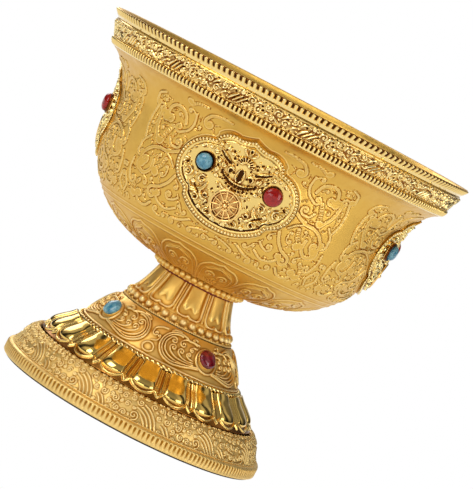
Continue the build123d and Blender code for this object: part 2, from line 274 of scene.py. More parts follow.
def newObject(name, data):
    thing = bpy.data.objects.new(name, data)
    bpy.context.scene.collection.objects.link(thing)
    return thing


def addPiece(name, whole, slotName, finish, *nodes, sharp=None):
    points, quads, tris, mask = whole
    mesh = bpy.data.meshes.new(name)
    mesh.vertices.add(len(points))
    mesh.vertices.foreach_set("co", (points * mm).astype(np.float32).ravel())
    corners = np.concatenate([quads.ravel(), tris.ravel()])
    mesh.loops.add(len(corners))
    mesh.loops.foreach_set("vertex_index", corners.astype(np.int32))
    starts = np.concatenate([np.arange(len(quads)) * 4, len(quads) * 4 + np.arange(len(tris)) * 3])
    mesh.polygons.add(len(starts))
    mesh.polygons.foreach_set("loop_start", starts.astype(np.int32))
    mesh.update(calc_edges=True)
    mesh.shade_smooth()
    if sharp:
        mesh.set_sharp_from_angle(angle=math.radians(sharp))
    proud = mesh.attributes.new("proud", "FLOAT", "POINT")
    proud.data.foreach_set("value", mask.astype(np.float32))
    mesh.materials.append(finishes[finish])
    piece = newObject(name, mesh)
    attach(piece, "root")
    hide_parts(*nodes)
    print("piece", name, len(quads) + len(tris), "faces")


def azimuthsOf(cols):
    return np.arange(cols) * 360.0 / cols


# Round the axis at each azimuth: radius out, level up
def turnedPoints(radius, level, azimuths):
    a = np.radians(azimuths)
    return np.stack(np.broadcast_arrays(radius * np.sin(a), -radius * np.cos(a), level), -1)


# Turns an outline into a closed grid; push moves its first rows along their normals
def lathe(outline, cols, push=None, mask=None, hubs=None):
    outline = np.asarray(outline, float)
    radius, level = (np.repeat(outline[:, k:k + 1], cols, 1) for k in (0, 1))
    values = np.full(radius.shape, 0.5)
    if push is not None:
        n = len(push)
        normal = normalsOf(outline[:n])
        radius[:n] += push * normal[:, :1]
        level[:n] += push * normal[:, 1:]
    if mask is not None:
        values[:len(mask)] = mask
    return tube(turnedPoints(radius, level, azimuthsOf(cols)), values, hubs)


# Ball of six curved sides, all faces of four
def ballPart(side):
    line = np.tan(np.linspace(-math.pi / 4, math.pi / 4, side + 1))
    a, b = np.meshgrid(line, line, indexing="ij")
    one = np.ones_like(a)
    faces = [(one, a, b), (-one, b, a), (b, one, a), (a, -one, b), (a, b, one), (b, a, -one)]
    index = np.arange((side + 1) ** 2).reshape(side + 1, side + 1)
    grid = np.stack([index[:-1, :-1], index[1:, :-1], index[1:, 1:], index[:-1, 1:]], 2)
    points = unit(np.vstack([np.stack(face, 2).reshape(-1, 3) for face in faces]))
    quads = np.vstack([grid.reshape(-1, 4) + n * index.size for n in range(len(faces))])
    _, first, back = np.unique(np.round(points, 5), axis=0, return_index=True,
                               return_inverse=True)
    return points[first], back.reshape(-1)[quads]


# Balls at many centres: size is a radius, one for each, or three axes for each
def balls(centres, size, side, mask):
    template, quads = ballPart(side)
    if np.ndim(size) < 3:
        size = np.eye(3) * np.broadcast_to(size, len(centres))[:, None, None]
    local = np.einsum("nij,kj->nki", size, template)
    offset = np.arange(len(centres))[:, None, None] * len(template)
    # Painted shade on each ball's side towards the wall, painted light on its outer side
    deep = np.clip(mask + 0.25 * (local * outwardOf(centres)[:, None]).sum(2), 0, 1)
    return ((centres[:, None] + local).reshape(-1, 3), (quads[None] + offset).reshape(-1, 4),
            np.zeros((0, 3), int), deep.ravel())


def outwardOf(centres):
    flat = centres * (1, 1, 0)
    return flat / (np.linalg.norm(flat, axis=1, keepdims=True) + 1e-9)


# Round wire along points in the plane of a wheel, closed or with rounded ends
def wire(points, radius, sides, closed=False):
    ends = np.roll(points, -1, 0) - np.roll(points, 1, 0)
    along = unit(ends if closed else np.gradient(points, axis=0))
    across = unit(np.cross(along, wheel["up"]))
    normal = np.cross(across, along)
    thick = np.broadcast_to(radius, len(points))[:, None]
    if not closed:
        along, across, normal, points, thick = (
            np.pad(v, ((1, 1), (0, 0)), "edge") for v in (along, across, normal, points, thick))
        points[[0, -1]] += along[[0, -1]] * thick[[0, -1]] * ((-0.6,), (0.6,))
        thick[[0, -1]] *= 0.35
    a = azimuthsOf(sides)[:, None] * math.pi / 180
    ring = (across[:, None] * np.cos(a) + normal[:, None] * np.sin(a)) * thick[:, None]
    return tube(points[:, None] + ring, 0.66, None if closed else points[[0, -1]])


# Materials: a node is added with its inputs, each a value or the output of another node

def feed(tree, socket, value):
    if isinstance(value, bpy.types.NodeSocket):
        tree.links.new(value, socket)
    else:
        socket.default_value = value


def add(tree, kind, inputs=(), **settings):
    node = tree.nodes.new("ShaderNode" + kind)
    for name, value in settings.items():
        setattr(node, name, value)
    for label, value in dict(inputs).items():
        feed(tree, node.inputs[label], value)
    return node


def calc(tree, operation, first, second=0.0, clamp=False):
    return add(tree, "Math", {0: first, 1: second}, operation=operation,
               use_clamp=clamp).outputs[0]


def spread(tree, value, low, high, outLow=0.0, outHigh=1.0):
    limits = (value, low, high, outLow, outHigh)
    return add(tree, "MapRange", dict(enumerate(limits))).outputs[0]


def noise(tree, place, scale, detail, rough=0.55):
    return add(tree, "TexNoise", {"Vector": place, "Scale": scale, "Detail": detail,
                                  "Roughness": rough}).outputs["Fac"]


def mixed(tree, amount, first, second, kind="MIX"):
    return add(tree, "Mix", {0: amount, 6: first, 7: second}, data_type="RGBA",
               blend_type=kind).outputs[2]


def bumped(tree, height, distance, strength):
    return add(tree, "Bump", {"Height": height, "Distance": distance * mm,
                              "Strength": strength}).outputs[0]


def objectPlace(tree):
    return add(tree, "TexCoord").outputs["Object"]


def newGroup(name, inputs, outputs):
    tree = bpy.data.node_groups.new(name, "ShaderNodeTree")
    for side, sockets in (("INPUT", inputs), ("OUTPUT", outputs)):
        for label, value in sockets.items():
            kind = "NodeSocketColor" if isinstance(value, tuple) else "NodeSocketFloat"
            socket = tree.interface.new_socket(name=label, in_out=side, socket_type=kind)
            socket.default_value = value
    return (tree, tree.nodes.new("NodeGroupInput").outputs,
            tree.nodes.new("NodeGroupOutput").inputs)


# Gilding: deep places turn warm and dull, a darker gilding with painted shade, pits turn near
# black as painted shade, proud edges are worn bright, clouds vary the tone
def giltGroup():
    tree, given, out = newGroup("giltTone", {
        "Tone": (0.8, 0.5, 0.16, 1), "Deep Shade Tone": (0.5, 0.2, 0.03, 1),
        "Proud Tone": (0.95, 0.75, 0.35, 1), "Depth": 1.0, "Cloud Scale": 60.0,
        "Cloud Amount": 0.3, "Roughness": 0.4, "Grain Scale": 3000.0, "Pit Shade Amount": 0.0,
    }, {"Color": (0, 0, 0, 1), "Roughness": 0.4, "Height": 0.0})
    place = objectPlace(tree)
    proud = add(tree, "Attribute", attribute_name="proud").outputs["Fac"]
    # Painted shade over a darker gilding: deep places take the deep tone
    deep = calc(tree, "MULTIPLY", spread(tree, proud, 0.5, 0.15), given["Depth"], True)
    clouds = spread(tree, noise(tree, place, given["Cloud Scale"], 4.0), 0.3, 0.7, -0.5, 0.5)
    clouds = calc(tree, "MULTIPLY", clouds, given["Cloud Amount"])
    mottle = calc(tree, "ADD", deep, clouds, True)
    colour = mixed(tree, mottle, given["Tone"], given["Deep Shade Tone"])
    worn = spread(tree, proud, 0.6, 1.0, 0.0, 0.7)
    colour = mixed(tree, worn, colour, given["Proud Tone"])
    # Painted shade: the deepest pits turn near black
    pitShade = calc(tree, "MULTIPLY", spread(tree, proud, 0.12, 0.0), given["Pit Shade Amount"], True)
    feed(tree, out["Color"], mixed(tree, pitShade, colour, (0.020, 0.008, 0.003, 1)))
    smudge = spread(tree, noise(tree, place, 420.0, 3.0), 0.3, 0.7, 0.8, 1.25)
    rough = calc(tree, "MULTIPLY", smudge, given["Roughness"])
    dull = calc(tree, "MULTIPLY", deep, 0.14)
    feed(tree, out["Roughness"], calc(tree, "ADD", rough, dull, True))
    feed(tree, out["Height"], noise(tree, place, given["Grain Scale"], 2.0))
    return tree


# Stone: a mottled body between two tones, with darker veins
def stoneGroup():
    tree, given, out = newGroup("stoneTone", {
        "Tone": (0.1, 0.4, 0.6, 1), "Pale Tone": (0.3, 0.6, 0.7, 1),
        "Vein Tone": (0.05, 0.1, 0.1, 1), "Scale": 500.0, "Vein Amount": 0.4,
    }, {"Color": (0, 0, 0, 1), "Height": 0.0})
    place = objectPlace(tree)
    body = noise(tree, place, given["Scale"], 4.0, 0.6)
    tone = mixed(tree, spread(tree, body, 0.38, 0.62), given["Tone"], given["Pale Tone"])
    line = noise(tree, place, calc(tree, "MULTIPLY", given["Scale"], 1.7), 5.0, 0.65)
    near = calc(tree, "ABSOLUTE", calc(tree, "SUBTRACT", line, 0.5))
    vein = calc(tree, "MULTIPLY", spread(tree, near, 0.03, 0.0), given["Vein Amount"], True)
    feed(tree, out["Color"], mixed(tree, vein, tone, given["Vein Tone"]))
    feed(tree, out["Height"], body)
    return tree


# Fibre of felt or of pressed board, between a dark and a light tone
def fibreGroup():
    tree, given, out = newGroup("fibreTone", {
        "Dark Tone": (0.1, 0.1, 0.1, 1), "Light Tone": (0.3, 0.3, 0.3, 1), "Scale": 900.0,
        "Detail": 4.0, "Harshness": 0.7}, {"Color": (0, 0, 0, 1), "Height": 0.0})
    fibre = noise(tree, objectPlace(tree), given["Scale"], given["Detail"], given["Harshness"])
    feed(tree, out["Color"], mixed(tree, fibre, given["Dark Tone"], given["Light Tone"]))
    feed(tree, out["Height"], fibre)
    return tree


giltTone, stoneTone, fibreTone = giltGroup(), stoneGroup(), fibreGroup()


# A material whose shader is given what the recipe returns for its nodes and settings
def newMaterial(name, recipe, settings):
    material = bpy.data.materials.new(name)
    material.use_nodes = True
    tree = material.node_tree
    for label, value in recipe(tree, **settings).items():
        feed(tree, tree.nodes["Principled BSDF"].inputs[label], value)
    return material


def giltRecipe(tree, tone, deep, proud, rough, clouds, grain, bump, pitShade, depth=1.0):
    gilt = add(tree, "Group", {
        "Tone": (*tone, 1), "Deep Shade Tone": (*deep, 1), "Proud Tone": (*proud, 1), "Depth": depth,
        "Cloud Amount": clouds, "Roughness": rough, "Grain Scale": grain,
        "Cloud Scale": 55.0, "Pit Shade Amount": pitShade}, node_tree=giltTone).outputs
    return {"Base Color": gilt["Color"], "Roughness": gilt["Roughness"], "Metallic": 1.0,
            "Normal": bumped(tree, gilt["Height"], 0.03, bump)}


def stoneRecipe(tree, tone, pale, vein, scale, amount, rough, bump, coat, glow):
    stone = add(tree, "Group", {
        "Tone": (*tone, 1), "Pale Tone": (*pale, 1), "Vein Tone": (*vein, 1), "Scale": scale,
        "Vein Amount": amount}, node_tree=stoneTone).outputs
    return {"Base Color": stone["Color"], "Roughness": rough, "Coat Weight": coat,
            "Coat Roughness": 0.06, "Specular IOR Level": 0.35, "Subsurface Weight": glow,
            "Subsurface Radius": (0.0012, 0.0008, 0.0008), "Subsurface Scale": 0.6,
            "Normal": bumped(tree, stone["Height"], 0.05, bump)}


# Felt of the base pad, and pressed red board of the seam's washer
def fibreRecipe(tree, dark, light, scale, detail, harshness, rough, sheen, bump):
    fibre = add(tree, "Group", {
        "Dark Tone": (*dark, 1), "Light Tone": (*light, 1), "Scale": scale, "Detail": detail,
        "Harshness": harshness}, node_tree=fibreTone).outputs
    return {"Base Color": fibre["Color"], "Roughness": rough, "Sheen Weight": sheen,
            "Normal": bumped(tree, fibre["Height"], *bump)}


# Zinc-plated clamp: turned steel with faint rings
def steelRecipe(tree, dark, light, ringScale, patchScale):
    place = objectPlace(tree)
    rings = add(tree, "TexWave", {"Vector": place, "Scale": ringScale, "Distortion": 1.2},
                wave_type="RINGS", rings_direction="Z").outputs["Fac"]
    patches = noise(tree, place, patchScale, 3.0)
    return {"Base Color": mixed(tree, patches, (*dark, 1), (*light, 1)), "Metallic": 1.0,
            "Roughness": spread(tree, patches, 0.3, 0.7, 0.24, 0.42),
            "Normal": bumped(tree, rings, 0.02, 0.4)}


# Each gilding's deep tone is painted shade in its hollows over a darker gilding; its pit share
# paints the deepest pits near black as shade
giltSettings = {
    "satinGold": dict(tone=(0.735, 0.445, 0.090), deep=(0.50, 0.21, 0.022), bump=0.35, pitShade=0.0,
                      proud=(0.92, 0.67, 0.26), rough=0.40, clouds=0.22, grain=5200.0),
    "reliefGold": dict(tone=(0.87, 0.56, 0.16), deep=(0.40, 0.165, 0.015), bump=0.3, pitShade=0.3,
                       proud=(0.95, 0.75, 0.37), rough=0.45, clouds=0.2, grain=4200.0),
    "softGold": dict(tone=(0.88, 0.59, 0.16), deep=(0.54, 0.220, 0.016), bump=0.35, pitShade=0.0,
                     proud=(0.95, 0.76, 0.40), rough=0.50, clouds=0.22, grain=5200.0),
    "paleGold": dict(tone=(0.84, 0.58, 0.20), deep=(0.42, 0.190, 0.018), bump=0.35, pitShade=0.0,
                     proud=(0.95, 0.76, 0.38), rough=0.50, clouds=0.25, grain=5200.0),
    "polishedGold": dict(tone=(0.86, 0.60, 0.19), deep=(0.16, 0.045, 0.006), bump=0.12, pitShade=0.8,
                         proud=(0.97, 0.81, 0.42), rough=0.17, clouds=0.12, grain=2600.0),
    "mirrorGold": dict(tone=(0.86, 0.58, 0.16), deep=(0.40, 0.14, 0.015), bump=0.08, pitShade=0.3,
                       proud=(0.97, 0.80, 0.40), rough=0.11, clouds=0.12, grain=1800.0,
                       depth=0.9),
    "fieldGold": dict(tone=(0.87, 0.62, 0.20), deep=(0.24, 0.07, 0.008), bump=0.12, pitShade=0.9,
                      proud=(0.97, 0.81, 0.42), rough=0.16, clouds=0.16, grain=2600.0),
    "bandGold": dict(tone=(0.88, 0.60, 0.19), deep=(0.20, 0.055, 0.007), bump=0.12, pitShade=0.8,
                     proud=(0.98, 0.82, 0.42), rough=0.17, clouds=0.14, grain=2600.0),
    "amberGold": dict(tone=(0.90, 0.58, 0.19), deep=(0.30, 0.075, 0.007), bump=0.15, pitShade=0.5,
                      proud=(0.98, 0.80, 0.42), rough=0.2, clouds=0.2, grain=2600.0),
}
stoneSettings = {
    "turquoise": dict(tone=(0.040, 0.215, 0.340), pale=(0.190, 0.410, 0.480), coat=0.4, glow=0.06,
                      vein=(0.015, 0.05, 0.07), scale=620.0, amount=0.75, rough=0.25, bump=0.3),
    "coral": dict(tone=(0.270, 0.003, 0.002), pale=(0.420, 0.012, 0.006), coat=0.25, glow=0.05,
                  vein=(0.12, 0.0, 0.003), scale=420.0, amount=0.5, rough=0.2, bump=0.2),
    "garnet": dict(tone=(0.120, 0.001, 0.006), pale=(0.300, 0.008, 0.018), coat=0.5, glow=0.05,
                   vein=(0.02, 0.0, 0.003), scale=760.0, amount=0.9, rough=0.2, bump=0.5),
}
fibreSettings = {
    "felt": dict(dark=(0.012, 0.009, 0.008), light=(0.06, 0.045, 0.035), scale=2600.0,
                 detail=5.0, harshness=0.75, rough=0.95, sheen=0.3, bump=(0.12, 0.8)),
    "redFibre": dict(dark=(0.10, 0.004, 0.004), light=(0.26, 0.015, 0.010), scale=900.0,
                     detail=4.0, harshness=0.7, rough=0.6, sheen=0.0, bump=(0.05, 0.5)),
}
steelSettings = {"steel": dict(dark=(0.42, 0.42, 0.43), light=(0.66, 0.66, 0.64),
                               ringScale=900.0, patchScale=240.0)}
finishes = {name: newMaterial(name, recipe, values)
            for recipe, table in ((giltRecipe, giltSettings), (stoneRecipe, stoneSettings),
                                  (fibreRecipe, fibreSettings), (steelRecipe, steelSettings))
            for name, values in table.items()}
for nodeName, finish in (("base_pad", "felt"), ("seam_washer", "redFibre"),
                         ("clamp_stud", "steel"), ("clamp_washer", "steel"),
                         ("clamp_nut", "steel")):
    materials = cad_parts[nodeName].data.materials
    materials.clear()
    materials.append(finishes[finish])
print("materials ready")


# Outline of a medallion

medallion = {
    "level": 79.4, "halfWidth": 18.5, "rise": 13.4, "drop": 14.9, "thickness": 0.6,
    "border": 2.0, "around": 640, "rings": 124, "offset": 0.06, "beadPitch": 0.96,
    "bead": (0.37, 0.52, 0.40),
    "arcs": [((0.10, 0.940), (0.23, 0.895)), ((0.44, 0.865), (0.56, 0.735)),
             ((0.565, 0.655), (0.60, 0.610)), ((0.895, 0.390), (1.0, 0.0)),
             ((0.930, -0.330), (0.735, -0.520)), ((0.695, -0.580), (0.68, -0.665)),
             ((0.40, -0.905), (0.0, -1.0))],
}


# Points on the arc of a circle through three points
def arcThrough(a, b, c):
    a, b, c = (np.asarray(p, float) for p in (a, b, c))
    d = 2 * (a[0] * (b[1] - c[1]) + b[0] * (c[1] - a[1]) + c[0] * (a[1] - b[1]))
    if abs(d) < 1e-6:
        return a + (c - a) * np.linspace(0, 1, 24)[:, None]
    ux = ((a @ a) * (b[1] - c[1]) + (b @ b) * (c[1] - a[1]) + (c @ c) * (a[1] - b[1])) / d
    uy = ((a @ a) * (c[0] - b[0]) + (b @ b) * (a[0] - c[0]) + (c @ c) * (b[0] - a[0])) / d
    centre = np.array([ux, uy])
    angles = [math.atan2(*(p - centre)[::-1]) for p in (a, b, c)]
    ab = (angles[1] - angles[0]) % (fullTurn)
    ac = (angles[2] - angles[0]) % (fullTurn)
    sweep = ac if ab < ac else ac - fullTurn
    t = angles[0] + sweep * np.linspace(0, 1, 24)
    return centre + np.linalg.norm(a - centre) * np.stack([np.cos(t), np.sin(t)], 1)


# Outline of a medallion, drawn in by a distance
def cartouche(inset=0.0):
    rise, half, drop = (medallion[name] - inset for name in ("rise", "halfWidth", "drop"))
    here, line = (0.0, rise), []
    for arc in medallion["arcs"]:
        middle, end = ((x * half, y * (rise if y > 0 else drop)) for x, y in arc)
        line.append(arcThrough(here, middle, end)[:-1])
        here = end
    right = np.vstack(line + [here])
    return np.vstack([right, right[-2:0:-1] * (-1, 1)])


# How far an outline reaches at each angle from straight up
def atAngles(outline, angles):
    own = np.unwrap(np.arctan2(outline[:, 0], outline[:, 1]))
    order = np.argsort(own)
    own, reach = own[order], np.linalg.norm(outline, axis=1)[order]
    own = np.concatenate([own - fullTurn, own, own + fullTurn])
    return np.interp(angles, own, np.tile(reach, 3))


# Bowl: one closed sheet from its floor round the lip, chased outside. A scroll is its width,
# a number of short cuts across it, its middle line, and the radius and side of its end's curl.

bowl = {
    "outline": [(15.01, 47.32), (20.0, 47.9), (24.9, 49.2), (29.7, 51.0), (34.1, 53.5),
                (38.0, 56.6), (41.35, 60.4), (43.9, 64.8), (45.6, 69.5), (46.6, 74.5),
                (47.1, 79.5), (47.5, 84.6), (47.8, 87.1), (48.6, 89.5), (49.8, 91.7),
                (51.5, 93.6), (53.3, 95.3), (55.2, 96.45)],
    "lip": [(56.9, 106.3), (57.6, 106.75), (58.4, 106.86), (58.9, 106.87), (59.05, 106.92),
            (58.9, 106.99), (58.3, 107.0), (57.6, 106.95), (56.9, 106.7), (56.4, 106.2),
            (55.9, 105.5), (55.4, 104.5)],
    "wall": 1.5, "floor": 48.8, "columns": 1760, "rows": 372, "lineHeight": 0.16,
    "rise": [(55.2, 96.45), (55.1, 99.0), (55.7, 102.5), (56.9, 106.3)],
    "down": [(55.4, 104.5), (54.5, 101.5), (53.9, 98.4)],
    "petals": 16, "sideRadius": 47.3, "under": 47.3, "step": 0.09,
    "scrolls": [
        (0.6, 0, [(18.7, 91.2), (18.8, 88.2), (20.0, 85.8), (22.4, 84.3)], 1.4, 1),
        (0.7, 0, [(21.4, 87.2), (22.4, 89.9), (24.9, 91.0), (27.4, 90.0), (28.7, 87.6)],
         1.7, -1),
        (0.75, 0, [(19.2, 79.7), (21.4, 78.5), (23.8, 77.7), (26.4, 77.6), (29.2, 76.5),
                   (31.4, 74.2)], 2.0, -1),
        (0.5, 0, [(19.3, 74.6), (21.0, 76.2), (23.2, 77.3)], 0.8, 1),
        (0.6, 0, [(24.4, 81.6), (23.2, 80.0), (21.2, 79.9)], 1.5, -1),
        (0.8, 0, [(28.4, 79.6), (30.4, 82.8), (31.0, 86.2)], 1.9, 1),
        (0.6, 0, [(33.0, 78.6), (34.0, 82.0), (33.8, 85.6), (32.8, 88.6)], 1.6, 1),
        (0.6, 0, [(31.0, 79.6), (33.2, 77.2), (33.6, 74.2)], 1.5, -1),
        (0.9, 7, [(25.0, 85.0), (26.2, 82.2), (26.8, 79.4)], 0.8, 1),
        (0.9, 7, [(22.6, 75.6), (23.4, 73.4), (25.2, 71.6)], 1.0, -1),
        (0.8, 0, [(26.4, 73.6), (26.6, 70.8), (28.8, 69.0), (31.2, 69.6)], 1.7, 1),
        (0.7, 0, [(17.6, 72.6), (19.0, 70.0), (21.4, 67.8), (24.2, 66.8)], 1.9, -1),
        (0.6, 0, [(34.2, 71.6), (34.6, 68.6), (34.0, 65.8)], 1.6, -1),
        (0.9, 7, [(29.4, 66.6), (31.2, 65.0), (32.2, 62.6)], 0.9, -1),
        (0.6, 0, [(14.0, 64.4), (17.0, 63.0), (20.2, 63.4), (22.2, 65.0)], 1.2, 1),
        (0.7, 0, [(23.4, 62.4), (25.6, 60.8), (28.6, 60.8), (30.0, 62.4)], 1.4, 1),
        (0.5, 0, [(1.6, 62.8), (4.6, 62.4), (7.6, 61.4)], 0.9, -1),
        (0.6, 0, [(8.6, 63.4), (11.6, 62.0), (14.4, 61.4)], 1.1, -1),
        (0.6, 0, [(36.6, 61.4), (35.2, 63.6), (36.4, 66.2)], 0.8, -1),
        (0.7, 0, [(8.0, 93.6), (11.0, 93.6), (13.8, 92.9), (15.6, 91.2)], 1.6, -1),
        (0.7, 5, [(15.4, 94.4), (18.0, 94.2), (20.4, 93.2)], 1.0, 1),
        (0.6, 0, [(30.4, 92.6), (33.0, 91.6), (34.0, 89.6)], 1.0, -1)],
}

bowlSide = evenly(bowl["outline"], bowl["rows"])
bowlLengths = arcLengths(bowlSide)


def upWall(level):
    return np.interp(level, bowlSide[:, 1], bowlLengths)


# The chasing of one eighth of the wall: x grows from a medallion's middle line to the middle
# between two medallions, y is the way up along the wall
def chasedWall():
    eighth = bowl["sideRadius"] * math.radians(45)
    canvas = newCanvas(eighth, bowlLengths[-1], bowl["step"])
    h = bowl["lineHeight"]
    # Border lines over the petals
    for level, width in ((57.0, 0.36), (58.4, 0.26)):
        stroke(canvas, [(-1, upWall(level)), (eighth + 1, upWall(level))], width, h)
    # Lotus petals of the underside
    half = bowl["sideRadius"] * math.pi / bowl["petals"]
    foot, tip = 3.0, upWall(55.9)
    waist = foot + (tip - foot) * 0.62
    for middle in (half, 3 * half):
        for side in (-1, 1):
            reach = side * half
            rib = [(middle + reach * out, foot + (tip - foot) * up) for out, up in
                   ((0.97, 0.0), (0.985, 0.35), (0.97, 0.62), (0.86, 0.80), (0.55, 0.93),
                    (0.22, 0.965), (0.0, 1.0))]
            inner = [(middle + (x - middle) * 0.80, foot + (y - foot) * 0.915) for x, y in rib]
            stroke(canvas, smooth(rib), 0.44, 0.22)
            stroke(canvas, smooth(inner), 0.26, 0.13)
            curl(canvas, middle + reach * 0.36, waist, half * 0.27, 180 if side > 0 else 0,
                 -side, 0.4, 0.26, 1.3)
            curl(canvas, middle + reach * 0.30, waist - 6.6, half * 0.24, 90, side, 0.4, 0.24,
                 1.2)
            leaf(canvas, [(middle, waist + 5.6), (middle + reach * 0.3, waist + 4.4),
                          (middle + reach * 0.62, waist + 3.2)], 0.7, 0.26)
            leaf(canvas, [(middle, foot + 3), (middle + reach * 0.4, foot + 7),
                          (middle + reach * 0.5, waist - 4)], 0.6, 0.22)
        dot(canvas, middle, waist - 2.4, 1.0, 0.3)
        stroke(canvas, [(middle, foot + 2), (middle, waist - 4)], 0.35, 0.2)
    # Contour line that follows the medallion, and the scrolls beside it
    contour = cartouche(-0.8)
    stroke(canvas, [(x, upWall(medallion["level"] + z)) for x, z in contour], 0.22, h)
    cuts = []
    for width, ticks, points, radius, side in bowl["scrolls"]:
        line = smooth([(x, upWall(level)) for x, level in points])
        comma(canvas, line[::4], radius, side, width, 1, layer="form")
        for n in range(ticks):
            k = int(len(line) * (0.15 + 0.75 * n / ticks))
            along = line[k] - line[k - 1]
            across = leftOf(along) / np.linalg.norm(along) * width * 0.55
            cuts.append((line[k] - across, line[k] + across))
    fillGround(canvas)
    raiseForms(canvas, 0.16, 0.07, 0.24, 0.40)
    for ends in cuts:
        stroke(canvas, ends, 0.14, -0.22)
    return canvas


# Fills the free ground round the medallion and the tendrils with smaller scrolls and leaves
def fillGround(canvas):
    rng = np.random.default_rng(11)
    x, y = placesOf(canvas)
    level = np.interp(y, bowlLengths, bowlSide[:, 1])
    up = level - medallion["level"]
    around = atAngles(cartouche(-1.2), np.arctan2(x, up))
    busy = (np.hypot(x, up) < around) | (level < 59.6) | (level > 92.3)
    busy |= (canvas["form"] > 0) | (x > 34.9) & (level > 70)
    sizes = ((1.9, 3000), (1.5, 4000), (1.15, 6000), (0.85, 8000), (0.6, 6000))
    for *spot, radius in freeSpots(canvas, busy, sizes, rng):
        a, side = rng.uniform(0, fullTurn), rng.choice((-1, 1))
        along = np.array([math.cos(a), math.sin(a)])
        across = leftOf(along) * side
        if radius > 0.8:
            spot = spot - across * radius * 0.6
            comma(canvas, [spot - along * radius * 1.5 + across * radius * 0.3,
                           spot - along * radius * 0.6, spot + along * radius * 0.2],
                  radius * 0.72, side, 0.2 + 0.2 * radius, 1, layer="form")
        else:
            bow = smooth([spot + along * t + across * 0.35 * (1 - t * t) for t in (-0.7, 0, 0.7)])
            stroke(canvas, bow, 0.4, 1, thin=(0.4, 1.0), layer="form")


def buildBowl():
    cols = bowl["columns"]
    canvas = chasedWall()
    relief = reliefOf(canvas)
    fold = np.abs((azimuthsOf(cols) + 45) % 90 - 45) * math.pi / 180 * bowl["sideRadius"]
    push, mask = sampled(canvas, fold, bowlLengths[:, None], relief,
                         proudMask(relief, 4, 5.6, 0.55))
    push *= np.clip((bowlLengths[-1] - bowlLengths) / 1.5, 0, 1)[:, None]
    inner = (bowlSide - normalsOf(bowlSide) * bowl["wall"])[::-10]
    lip = evenly(bowl["lip"], 22)
    rise, down = evenly(bowl["rise"], 10)[1:-1], evenly(bowl["down"], 8)[1:-1]
    floor = [(radius, bowl["floor"]) for radius in np.linspace(17.0, 1.5, 14)]
    under = [(radius, bowl["under"]) for radius in np.linspace(1.5, 14.0, 12)]
    outline = np.vstack([bowlSide, rise, lip, down, inner[inner[:, 0] > 18], floor, under])
    points, quads, _, values = lathe(outline, cols, push, mask)
    # The middles of the floor and of the underside are closed apart
    ring = np.arange(cols) + (len(outline) - len(under) - 1) * cols
    quads = np.delete(quads, ring, 0)
    tris = np.vstack([fan(ring, len(points)), fan(ring + cols, len(points) + 1, True)])
    points = np.vstack([points, (0, 0, bowl["floor"]), (0, 0, bowl["under"])])
    addPiece("bowl", (points, quads, tris, np.append(values, (0.5, 0.5))), "satin_gold",
             "satinGold", "bowl_shell", sharp=60)


buildBowl()


shell = {"wall": 1.8, "innerRows": 8, "step": 0.08}


# Turned shell with a tile of relief round it. The relief may fade out before the shell's edges,
# and without an inner line of its own the shell has an even wall.
def shellPiece(name, node, piece, draw, slotName, finish, turn=0.0, sharp=None):
    line = evenly(piece["outline"], piece["rows"])
    lengths = arcLengths(line)
    width = piece["radius"] * fullTurn / piece["repeats"]
    canvas = newCanvas(width, lengths[-1], shell["step"], wraps=True)
    draw(canvas, width, lengths[-1])
    field = reliefOf(canvas)
    proud = proudMask(field, *piece["proud"])
    # A given ground mask is set on the flat ground between the forms; a low one paints it as shade
    if "ground" in piece:
        proud = np.where(blurred(field, 1) < 0.04, piece["ground"], proud)
    x = ((azimuthsOf(piece["columns"]) - turn) / 360 * piece["repeats"] % 1) * width
    push, mask = sampled(canvas, x, lengths[:, None], field, proud)
    push += piece["base"]
    if "plain" in piece:
        inset = np.minimum(lengths - piece["plain"][0], lengths[-1] - piece["plain"][1] - lengths)
        fade = np.clip(inset / 0.2, 0, 1)[:, None]
        push, mask = push * fade, np.where(fade > 0.5, mask, 0.6)
    inner = evenly(piece["outline"], shell["innerRows"])
    inner = piece.get("inner", (inner - normalsOf(inner) * shell["wall"])[::-1])
    whole = lathe(np.vstack([line, inner]), piece["columns"], push, mask)
    addPiece(name, whole, slotName, finish, node, sharp=sharp)


# Rim: two toothed wires and the chased band between them

lowerBeading = {"outline": [(55.5, 96.52), (55.95, 96.8), (56.3, 97.3), (56.6, 97.9),
                            (56.65, 98.35), (56.5, 98.7), (56.0, 98.9)],
                "inner": [(55.6, 98.9), (55.2, 97.7), (55.3, 96.52)], "teeth": 253,
                "depth": 0.55, "from": 0.16}
upperBeading = {"outline": [(57.6, 104.25), (57.9, 104.7), (58.45, 105.3), (59.0, 105.95),
                            (59.35, 106.45), (59.25, 106.75), (58.8, 106.86)],
                "inner": [(57.4, 106.6), (56.9, 105.3), (57.0, 104.25)], "teeth": 200,
                "depth": 0.55, "from": 0.26}
toothShape = (0.0, -0.05, -0.35, -0.88, -1.0, -0.88, -0.35, -0.05)
rimBand = {"outline": [(56.3, 98.95), (56.4, 99.8), (56.95, 101.2), (57.6, 102.4),
                       (57.95, 103.2), (57.95, 103.7), (57.7, 104.15)],
           "inner": [(57.0, 104.15), (56.5, 103.0), (55.85, 100.5), (55.7, 98.95)],
           "repeats": 16, "columns": 1900, "rows": 56, "lineHeight": 0.55,
           "radius": 57.9, "drawnWidth": 22.7, "proud": (7, 2.1, 0.52),
           "base": -0.26, "plain": (0.05, 0.45)}


# Toothed ring: share is how deep each row is cut, and gain how much darker its cuts are painted,
# as shade in the gaps
def toothedRing(name, node, piece, line, share, tone, gain, slotName, finish):
    cuts = np.tile(toothShape, piece["teeth"]) * share
    whole = lathe(np.vstack([line, piece["inner"]]), cuts.shape[1], piece["depth"] * cuts,
                  np.clip(tone + gain * cuts, 0, 1))
    addPiece(name, whole, slotName, finish, node)


